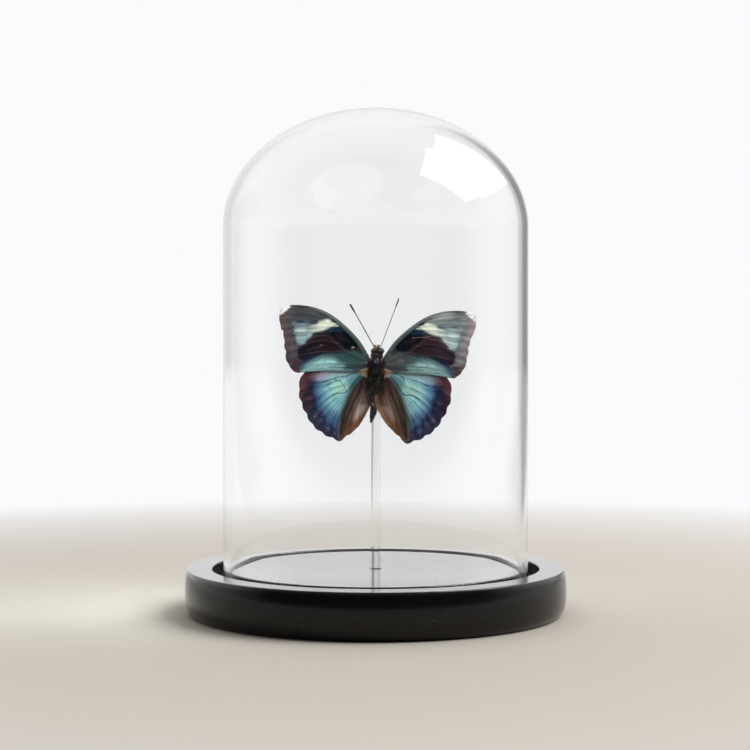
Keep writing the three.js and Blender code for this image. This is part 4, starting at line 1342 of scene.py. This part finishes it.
def build_abdomen_fur(material, middle, run, radius):
    """A mat of dark olive fuzz that joins the first rings to the thorax, and short flat hair below."""
    build = Build()
    mat_middle, mat_half = np.array((-0.5, -5.2, -5.5)), np.array((2.1, 1.1, 3.1))
    mat, faces = ball(mat_middle, mat_half, 48, 36)
    build.add(mat, faces, tone((22, 20, 17)), 0.1)
    roots, ways, luck = scattered(mat_middle, mat_half * 0.97, FUR_COUNTS["mat"], 74)
    ways = ways * 0.55 + np.array((0, 0, -0.8)) + np.random.default_rng(75).normal(size=roots.shape) * 0.35
    tufts = layered_noise(roots[:, 0] * 1.5 + 4, roots[:, 2] * 1.2, 76, 2)
    pale = fade(tufts + 0.1 * roots[:, 0], 0.5, 0.75) * (0.3 + 0.7 * luck[:, 1])
    colours = between((18, 18, 17), (134, 128, 108), pale) * clumps(roots, 78)
    hairs(build, roots, ways, 0.45 + 0.75 * luck[:, 0], colours, 0.02, (0, 0, -0.35), 77)
    random = np.random.default_rng(71)
    count = FUR_COUNTS["abdomen"]
    luck = random.random((count, 5))
    where = run[-1] * np.where(luck[:, 4] < 0.52, luck[:, 0] * 0.34, luck[:, 0])
    angle = TURN * luck[:, 1]
    reach = np.interp(where, run, radius)
    x, z = np.interp(where, run, middle[:, 0]), np.interp(where, run, middle[:, 1])
    out = spokes(angle)
    roots = np.column_stack([x, np.full(count, ABDOMEN_DEPTH), z]) + out * (reach * 0.97)[:, None]
    upper = fade(where, 5.4, 3.2)
    lengths = 0.22 + 0.2 * luck[:, 2] + upper * (0.5 + 0.75 * luck[:, 2])
    ways = out * (0.32 + 0.75 * upper[:, None]) + np.array((0, 0, -1.0))
    ways = ways + random.normal(size=(count, 3)) * 0.26
    dark = between((17, 16, 15), (44, 36, 31), luck[:, 3])
    pale = between((66, 56, 50), (176, 160, 142), luck[:, 3] ** 2)
    some = fade(luck[:, 2], 0.66, 0.92)[:, None] * (0.8 - 0.2 * upper[:, None])
    colours = (dark * (1 - some) + pale * some) * clumps(roots, 73)
    hairs(build, roots, ways, lengths, colours, 0.02, (0, 0, -0.35), 72)
    build.piece("abdomen_fur", material, "body_fur")


def eye_bulge(unit, shaped):
    """Rows of tiny facets."""
    around = np.arctan2(unit[:, 1], unit[:, 0])
    return 0.006 * np.sin(around * 60) * np.sin(unit[:, 2] * 46)


def eye_gloss():
    """Black compound eyes: a shining skin over tiny facets."""
    material, graph, shader = new_material("eye_gloss", {"Roughness": 0.06, "IOR": 1.7})
    facets = graph.cells(graph.place(14000))
    cloud = graph.noise(graph.place(1800), 1.0, 2.0)
    black = graph.mix(cloud, (0.0012, 0.001, 0.0012), (0.006, 0.0038, 0.0034))
    rough = graph.spread(cloud, 0.3, 0.7, 0.03, 0.08)
    link(graph, shader, Base_Color=black, Roughness=rough, Normal=graph.bump(facets, 0.00001, 0.2))
    return material


def build_head(material):
    """One broad dark mass with a large eye on each side."""
    build = Build()
    skull, faces = ball(HEAD_MIDDLE + (0.1, 0.1, -0.3), (1.8, 1.3, 1.3), 64, 48)
    build.add(skull, faces, tone((12, 9, 9)), 0.5)
    for side in (-1, 1):
        socket = np.array((HEAD_MIDDLE[0] + side * 0.62, -6.35, 6.28))
        knob, faces = ball(socket, (0.24, 0.24, 0.2), 20, 14)
        build.add(knob, faces, tone((36, 27, 23)), 0.4)
    neck, faces = tube(((0.1, -5.6, 3.0), (0.12, -5.7, 3.7), (0.16, -5.8, 4.6)), (1.7, 1.75, 1.6), 40)
    build.add(neck, faces, tone((30, 22, 18)), 0.15)
    build.piece("head_capsule", material, "dark_cuticle", ["head"])
    eyes = Build()
    for place, half in EYES:
        eye, faces = ball(HEAD_MIDDLE + place, half, 96, 64, eye_bulge)
        eyes.add(eye, faces, tone((9, 7, 8)), 0.96)
    eyes.piece("eyes_faceted", eye_gloss(), "dark_cuticle")


def build_head_fur(material):
    build = Build()
    roots, ways, luck = scattered(HEAD_MIDDLE + (0, 0.0, -0.35), (1.75, 1.3, 1.35), FUR_COUNTS["head"], 81)
    kept = (np.abs(roots[:, 0] + 0.1) < 0.35 + 0.5 * fade(roots[:, 2], 5.4, 6.0)) | (roots[:, 2] < 4.3)
    roots, ways, luck = roots[kept], ways[kept], luck[kept]
    tuft = fade(roots[:, 2], 5.6, 6.0) * fade(roots[:, 0], 0.7, 0.1)
    tan = np.clip(tuft * (0.55 + 0.6 * luck[:, 0]), 0, 1)
    colours = between((20, 15, 13), (210, 162, 112), tan) * (0.7 + 0.6 * luck[:, 2:3])
    ways = ways + np.random.default_rng(82).normal(size=roots.shape) * 0.3 + np.array((0, -0.1, 0.25))
    hairs(build, roots, ways, 0.28 + 0.4 * luck[:, 1], colours, 0.022, (0, 0, -0.1), 83)
    count = FUR_COUNTS["neck"]
    random = np.random.default_rng(84)
    angle, luck = TURN * random.random(count), random.random((count, 3))
    out = spokes(angle)
    middle = np.column_stack([np.full(count, 0.12), np.full(count, -5.65), 3.0 + 1.2 * luck[:, 0]])
    roots = out * np.array((1.65, 1.6, 0)) + middle
    colours = between((24, 17, 15), (98, 64, 50), luck[:, 1] ** 2)
    ways = out * 0.9 + random.normal(size=(count, 3)) * 0.35 + np.array((0, 0, 0.1))
    hairs(build, roots, ways, 0.35 + 0.45 * luck[:, 2], colours, 0.022, (0, 0, -0.3), 85)
    build.piece("head_fur", material, "body_fur")


def build_antenna(side, material):
    """A slim jointed shaft with a pale ring at each joint, and a long club."""
    start, end = map(np.array, ANTENNAE[side])
    length = np.linalg.norm(end - start)
    stops = np.arange(0, length, 0.05)
    part = stops / length
    sag = np.sin(part * math.pi) * 0.12
    line = start + np.outer(part, end - start) + np.outer(sag, (0.3, 0.9, 0))
    club = fade(stops, length - 3.6, length - 1.9)
    joint = (stops / 0.42) % 1.0
    thick, widening, strength, dark, pale = ANTENNA_LOOKS[side]
    radius = thick * (0.86 + 0.22 * np.sin(joint * math.pi)) + club * widening
    radius *= np.sqrt(np.clip((length - stops) / 0.3, 0.02, 1))
    radius[:5] *= np.linspace(1.9, 1.1, 5)
    points, faces = tube(line, radius, 14)
    ring = fade(joint, 0.78, 0.9) * (1 - 0.85 * club) * strength
    colours = between(dark, pale, np.repeat(ring, 14))
    build = Build()
    build.add(points, faces, colours, 0.4)
    build.piece(f"antenna_{side}_jointed", material, "dark_cuticle", [f"antenna_{side}"])


def build_palp(side, sign, material):
    """A short upturned feeler covered in tan scales."""
    build = Build()
    x = HEAD_MIDDLE[0] - 0.15 + 0.45 * sign
    line = [(x + out * sign, y, z) for out, y, z in PALP]
    bright = side == "left"
    path = smooth_line(line, 0.08)
    radii = np.interp(np.linspace(0, 1, len(path)), (0, 0.4, 0.8, 1), (0.3, 0.36, 0.24, 0.04))
    core, faces = tube(path, radii, 16)
    build.add(core, faces, tone((130, 92, 60) if bright else (70, 46, 32)), 0.15)
    random = np.random.default_rng(90 + sign)
    count = FUR_COUNTS["palp"]
    luck = random.random((count, 4))
    spot = path[(luck[:, 0] ** 0.9 * (len(path) - 1)).astype(int)]
    angle = TURN * luck[:, 1]
    out = spokes(angle)
    dark, pale = ((110, 76, 50), (228, 188, 140)) if bright else ((40, 28, 22), (130, 94, 64))
    colours = between(dark, pale, luck[:, 2])
    ways = out * 0.9 + np.array((0, 0, 1.0)) + random.normal(size=(count, 3)) * 0.2
    hairs(build, spot + out * 0.2, ways, 0.22 + 0.28 * luck[:, 3], colours, 0.024, (0, 0, 0), 95 + sign)
    build.piece(f"palp_{side}_tufted", material, "tan_scales", [f"palp_{side}"])


def build_proboscis(material):
    """The tongue, wound up like a watch spring, with fine rings."""
    centre = HEAD_MIDDLE + (0, 1.95 + PROBOSCIS_OUTER, 0)
    part = np.linspace(0, 1, 260)
    angle = TURN * PROBOSCIS_TURNS * part
    reach = PROBOSCIS_OUTER + (PROBOSCIS_INNER - PROBOSCIS_OUTER) * part
    line = np.column_stack([0.03 * np.sin(angle), -reach * np.cos(angle), reach * np.sin(angle)]) + centre
    radius = (0.12 - 0.05 * part) * (0.93 + 0.09 * np.sin(part * 380))
    points, faces = tube(line, radius, 12)
    build = Build()
    build.add(points, faces, between((58, 34, 20), (104, 64, 34), np.repeat(part, 12)), 0.6)
    root, faces = tube(((0.2, -4.6, 5.3), (0.2, -4.3, 5.32), tuple(line[0])), (0.3, 0.22, 0.14), 14)
    build.add(root, faces, tone((50, 32, 22)), 0.4)
    build.piece("proboscis_coiled", material, "dark_cuticle", ["proboscis"])


def build_leg(kind, side, material):
    """A folded leg: stout thigh, slim shin with spurs, jointed foot and claws."""
    stations = np.array(LEGS[kind])
    sign = SIDES[side]
    build = Build()
    widths = (0.24, 0.2, 0.15, 0.1, 0.1)
    for number, (a, b) in enumerate(zip(stations[:-1], stations[1:])):
        part = np.linspace(0, 1, 26)
        belly = np.sin(part * math.pi) ** 0.6
        radius = widths[number + 1] * (0.6 + 0.5 * belly) * (1.25 if number == 0 else 1.0)
        if number == 2:
            radius = radius * (0.8 + 0.25 * np.abs(np.sin(part * math.pi * 5)))
        bar, faces = tube(a + np.outer(part, b - a), radius, 14)
        cloud = layered_noise(bar[:, 1] * 3, bar[:, 2] * 3, 33, 2)
        build.add(bar, faces, between((40, 28, 20), (96, 76, 52), cloud), 0.35)
    for joint in stations[1:-1]:
        knee, faces = ball(joint, (0.2, 0.2, 0.2), 16, 12)
        build.add(knee, faces, tone((48, 34, 24)), 0.4)
    random = np.random.default_rng(len(kind) * 7 + (side == "left"))
    count = FUR_COUNTS["leg"]
    luck = random.random((count, 3))
    leg = even_steps(stations, 0.05)
    roots = leg[(luck[:, 0] * (len(leg) - 1)).astype(int)]
    out = unit_rows(random.normal(size=(count, 3)))
    along = stations[-1] - stations[0]
    ways = out + 0.8 * along / np.linalg.norm(along)
    colours = between((44, 32, 24), (120, 98, 70), luck[:, 1])
    hairs(build, roots + out * 0.1, ways, 0.16 + 0.2 * luck[:, 2], colours, 0.016, (0, 0, 0), 41)
    for lean in (-0.5, 0.5):
        claw = stations[-1] + np.array(((0, 0, 0), (0.05 * lean, 0.08, -0.14), (0.2 * lean, 0.02, -0.24)))
        bar, faces = tube(claw, (0.06, 0.04, 0.012), 8)
        build.add(bar, faces, tone((30, 20, 16)), 0.6)
    build.piece(f"{kind}_{side}_jointed", material, "dark_cuticle", [f"{kind}_{side}"], sign)


def add_edge_hair(build, random):
    """Tawny hair along the right hindwing's inner edge, which reaches towards the abdomen."""
    luck = random.random((FUR_COUNTS["edge"], 5))
    z = -8.2 - 11.0 * luck[:, 0]
    spots = np.column_stack([0.2 + 5.4 * luck[:, 1], z])
    depth = depth_in(spots, hind_loop("right"))
    kept = (depth > 0.05) & (depth < 0.4) & (spots[:, 0] < np.interp(z, (-20, -8), (6.4, 2.2)))
    spots, luck = spots[kept], luck[kept]
    tawny = fade(spots[:, 1], -17.5, -11.5) * (0.4 + 0.6 * luck[:, 2])
    colours = between((92, 62, 44), (204, 138, 74), tawny) * (0.7 + 0.6 * luck[:, 3:4])
    ways = np.array((-0.85, -0.05, -0.6)) + random.normal(size=(len(spots), 3)) * np.array((0.2, 0.12, 0.2))
    roots = np.column_stack([spots[:, 0], wing_depth(spots, HIND_LINE, HIND_VEINS, 123), spots[:, 1]])
    lengths = (0.6 + 0.6 * luck[:, 4]) * (1 + 1.3 * fade(spots[:, 1], -15.0, -11.5))
    lengths = lengths * fade(spots[:, 1], -20.5, -15.0)
    hairs(build, roots, ways, lengths, colours, 0.03, (0, 0, -0.1), 113)


def build_root_fur(side, material):
    """Hair that hides where the wings meet the body, and the long hair on the hindwing's inner fold."""
    build = Build()
    random = np.random.default_rng(101 + SIDES[side])
    count = FUR_COUNTS["wing_root"]
    luck = random.random((count, 5))
    x, z = 1.75 + 0.75 * luck[:, 0], -3.4 + 6.4 * luck[:, 1]
    y = np.interp(z, (-3.4, -1.2, 0, 3.4), (-5.3, -6.0, -6.75, -6.9)) + 0.25 * luck[:, 4]
    tan = fade(luck[:, 2] + 0.3 * np.exp(-((z + 0.4) / 1.2) ** 2), 0.62, 1.15)
    roots = np.column_stack([x, y, z])
    colours = between((36, 26, 22), (184, 146, 110), tan) * clumps(roots, 114)
    ways = np.column_stack([np.full(count, 0.9), np.full(count, -0.35), -0.3 + 0.16 * z])
    ways = ways + random.normal(size=(count, 3)) * 0.3
    hairs(build, roots, ways, 0.35 + 0.7 * luck[:, 3], colours, 0.02, (0.2, 0.1, -0.4), 111)
    luck = random.random((FUR_COUNTS["fold"], 5))
    along = luck[:, 0]
    x, z = 1.0 + 3.2 * along * luck[:, 1] + 0.9 * luck[:, 2], -2.6 - 9.5 * along
    spots = np.column_stack([x, z])
    inside = depth_in(spots, hind_loop(side)) > 0.25
    spots, luck = spots[inside], luck[inside]
    seed = 123 if side == "right" else 23
    depth = wing_depth(spots, HIND_LINE, HIND_VEINS, seed) - 0.05
    colours = between((46, 32, 26), (128, 102, 84), luck[:, 3] ** 1.6)
    ways = np.column_stack([0.12 + 0.1 * luck[:, 4], -0.16 - 0.1 * luck[:, 1], np.full(len(depth), -1.0)])
    ways = ways + random.normal(size=(len(ways), 3)) * np.array((0.12, 0.06, 0.05))
    roots = np.column_stack([spots[:, 0], depth, spots[:, 1]])
    hairs(build, roots, ways, 0.7 + 1.0 * luck[:, 2], colours, 0.014, (0, 0.12, 0), 112)
    if side == "right":
        add_edge_hair(build, random)
    build.piece(f"wing_root_fur_{side}", material, "body_fur", side=SIDES[side])


def build_body():
    fur = body_material("body_fur", 0.72, True)
    cuticle = body_material("dark_cuticle", 0.6, False)
    tan = body_material("tan_scales", 0.75, True)
    build_thorax(fur)
    build_thorax_fur(fur)
    build_abdomen_fur(fur, *build_abdomen(fur))
    build_head(cuticle)
    build_head_fur(fur)
    build_proboscis(cuticle)
    for side, sign in SIDES.items():
        build_antenna(side, cuticle)
        build_palp(side, sign, tan)
        build_root_fur(side, fur)
        for kind in LEGS:
            build_leg(kind, side, cuticle)


def build_butterfly():
    build_wings()
    build_body()


# ---------- floor, light and camera ----------

CAMERA_PLACE = (-0.23, -600.0, 90.3)  # mm
CAMERA_PITCH = math.radians(1.166)  # downwards
CAMERA_LENS, CAMERA_SENSOR = 87.7, 36.0  # mm
ROOM_WHITE = (0.982, 0.985, 1.0)
BEHIND, BESIDE, IN_FRONT, OVERHEAD = 0.975, 0.82, 0.025, 0.22  # brightness of the room
RIGHT_FLAG, LEFT_FLAG = 0.52, 0.06  # how much darker the room is behind the object's sides
LOW, HIGH = 0.25, 0.95  # heights between which the walls turn into the ceiling
VIEW_EDGE = 0.22  # tangent of the angle at which the floor leaves the picture
SOFTBOX_PLACE, SOFTBOX_SIZE, SOFTBOX_POWER = (1.08, -0.10, 1.20), (1.12, 0.97), 16.0
ROUND_PLACE, ROUND_SIZE, ROUND_POWER = (-0.5, -1.02, 1.12), (1.35, 1.6), 3.4
FILL_PLACE, FILL_SIZE, FILL_POWER = (0.1, -2.0, 1.1), (2.4, 1.6), 12.7
KEY_PLACE, KEY_SIZE, KEY_POWER = (-0.45, -0.75, 0.8), (0.4, 0.3), 5.5
FLOOR_REACH = 60.0  # m
FLOOR_START, FLOOR_END = 0.1, 0.42  # m from the object, between which the floor runs out into white
FLOOR_NEAR, FLOOR_FAR = 2.8, 6.0  # m, between which it takes on the brightness of the room's walls
CAP_POINT, SPECIMEN_POINT = (0, 0, 0.14), (0, 0, 0.09)  # what the lights are aimed at
SOFTBOX_ACROSS, SOFTBOX_UP = (0.685, 0.232, -0.691), (-0.134, 0.972, 0.194)


def room_level(graph, place):
    """Brightness of the room in each compass direction: white behind, a flag on each side, dim in front.

    across runs from -1 at the left to 1 at the right, and ahead from -1 in front to 1 behind the object."""
    axes = graph.axes(place)
    squares = graph.plus(graph.times(axes["X"], axes["X"]), graph.times(axes["Y"], axes["Y"]))
    reach = graph.math("SQRT", graph.plus(squares, 0.000001))
    across = graph.math("DIVIDE", axes["X"], reach)
    ahead = graph.math("DIVIDE", axes["Y"], reach)
    sides = graph.spread(ahead, -0.4, 0.15, IN_FRONT, BESIDE)
    level = graph.plus(sides, graph.spread(ahead, 0.93, 0.975, 0.0, BEHIND - BESIDE))
    back = graph.spread(ahead, 0.0, 0.2)
    right = graph.times(graph.spread(across, 0.24, 0.29), graph.spread(across, 0.75, 0.5))
    left = graph.times(graph.spread(across, -0.38, -0.48), graph.spread(across, -0.76, -0.64))
    flags = graph.plus(graph.times(right, RIGHT_FLAG), graph.times(left, LEFT_FLAG))
    return graph.math("SUBTRACT", level, graph.times(flags, back))


def floor_material():
    """Matt pale floor, which runs out into the white of the room."""
    material, graph, shader = new_material("pale_floor", {"Roughness": 0.9, "Specular IOR Level": 0.1})
    spot = graph.place(1)
    reach = graph.node("ShaderNodeVectorMath", {"operation": "LENGTH"}, {0: spot}).outputs["Value"]
    near = graph.mix(graph.noise(spot, 400.0, 4.0), (0.70, 0.64, 0.56), (0.73, 0.67, 0.59))
    link(graph, shader, Base_Color=near)
    axes = graph.axes(spot)
    slant = graph.math("DIVIDE", axes["X"], graph.plus(axes["Y"], 0.6))
    shade = graph.times(graph.spread(slant, VIEW_EDGE, VIEW_EDGE + 0.05), graph.spread(axes["Y"], 0.1, 0.3))
    shade = graph.times(shade, graph.spread(slant, 0.9, 0.6))
    close = graph.spread(axes["Y"], -0.6, -0.2, IN_FRONT, BEHIND)
    close = graph.math("SUBTRACT", close, graph.times(shade, RIGHT_FLAG))
    close = graph.times(close, graph.spread(reach, FLOOR_FAR, FLOOR_NEAR))
    distant = graph.times(room_level(graph, spot), graph.spread(reach, FLOOR_NEAR, FLOOR_FAR))
    level = graph.plus(close, distant)
    glow = graph.node("ShaderNodeEmission", {}, {"Color": (*ROOM_WHITE, 1.0), "Strength": level})
    far = graph.spread(reach, FLOOR_START, FLOOR_END)
    values = {0: graph.times(far, far), 1: shader.outputs["BSDF"], 2: glow.outputs["Emission"]}
    both = graph.node("ShaderNodeMixShader", {}, values)
    graph.tree.links.new(both.outputs["Shader"],
                         material.node_tree.nodes["Material Output"].inputs["Surface"])
    return material


def build_floor():
    mesh = bpy.data.meshes.new("floor")
    corners = [(x * FLOOR_REACH, y * FLOOR_REACH, 0) for x, y in ((-1, -1), (1, -1), (1, 1), (-1, 1))]
    mesh.from_pydata(corners, [], [(0, 1, 2, 3)])
    mesh.materials.append(floor_material())
    floor = bpy.data.objects.new("floor", mesh)
    bpy.context.scene.collection.objects.link(floor)


def build_world():
    """The room above the floor, which turns to an even grey overhead."""
    world = bpy.data.worlds.new("studio")
    bpy.context.scene.world = world
    world.use_nodes = True
    graph = Graph(world.node_tree)
    direction = graph.node("ShaderNodeTexCoord", {}, {}).outputs["Generated"]
    axes = graph.axes(direction)
    height = axes["Z"]
    low = graph.times(room_level(graph, direction), graph.spread(height, HIGH, LOW))
    above = graph.spread(axes["Y"], -0.2, 0.35, OVERHEAD, 0.97)
    high = graph.times(graph.spread(height, LOW, HIGH), above)
    background = world.node_tree.nodes["Background"]
    background.inputs["Color"].default_value = (*ROOM_WHITE, 1.0)
    graph.tree.links.new(graph.plus(low, high), background.inputs["Strength"])


def add_light(name, place, size, power, shape="RECTANGLE"):
    """A soft area light in metres that the camera doesn't see."""
    data = bpy.data.lights.new(name, "AREA")
    data.shape = shape
    data.size, data.size_y = size
    data.energy = power
    light = bpy.data.objects.new(name, data)
    light.location = place
    light.visible_camera = False
    bpy.context.scene.collection.objects.link(light)
    return light


def aim(light, target):
    light.rotation_euler = (Vector(target) - light.location).to_track_quat("-Z", "Y").to_euler()


def light_group(name, names, wanted):
    """A collection for the lights: the named pieces, or all pieces but those."""
    chosen = bpy.data.collections.new(name)
    for thing in bpy.context.scene.objects:
        if thing.type == "MESH" and (thing.name in names) == wanted:
            chosen.objects.link(thing)
    return chosen


def build_lights():
    """A softbox and a round light that show in the dome's cap; a fill and a key that light what is inside it.

    The round light is for the dome alone. The clear dome and rod shade none of the others."""
    glass = light_group("glass", ("dome_blown",), True)
    opaque = light_group("opaque", ("dome_blown", "rod_drawn"), False)
    inside = light_group("inside", ("dome_blown", "rod_drawn", "base_turned", "floor"), False)
    softbox = add_light("softbox", SOFTBOX_PLACE, SOFTBOX_SIZE, SOFTBOX_POWER)
    across, up = Vector(SOFTBOX_ACROSS), Vector(SOFTBOX_UP)
    softbox.rotation_euler = Matrix((across, up, across.cross(up))).transposed().to_euler()
    round_light = add_light("round_light", ROUND_PLACE, ROUND_SIZE, ROUND_POWER, "ELLIPSE")
    aim(round_light, CAP_POINT)
    round_light.light_linking.receiver_collection = glass
    fill = add_light("front_fill", FILL_PLACE, FILL_SIZE, FILL_POWER)
    fill.visible_glossy = False
    key = add_light("key", KEY_PLACE, KEY_SIZE, KEY_POWER)
    for light in (fill, key):
        aim(light, SPECIMEN_POINT)
        light.light_linking.receiver_collection = inside
    for light in (softbox, fill, key):
        light.light_linking.blocker_collection = opaque


def build_camera():
    data = bpy.data.cameras.new("camera")
    data.lens = CAMERA_LENS
    data.sensor_width = CAMERA_SENSOR
    data.clip_start = 0.01
    data.clip_end = 200.0
    camera = bpy.data.objects.new("camera", data)
    camera.location = Vector(CAMERA_PLACE) * MM
    camera.rotation_euler = (math.pi / 2 - CAMERA_PITCH, 0, 0)
    bpy.context.scene.collection.objects.link(camera)
    bpy.context.scene.camera = camera


bpy.context.scene.view_settings.view_transform = "Standard"
build_case()
build_butterfly()
build_floor()
build_world()
build_lights()
build_camera()
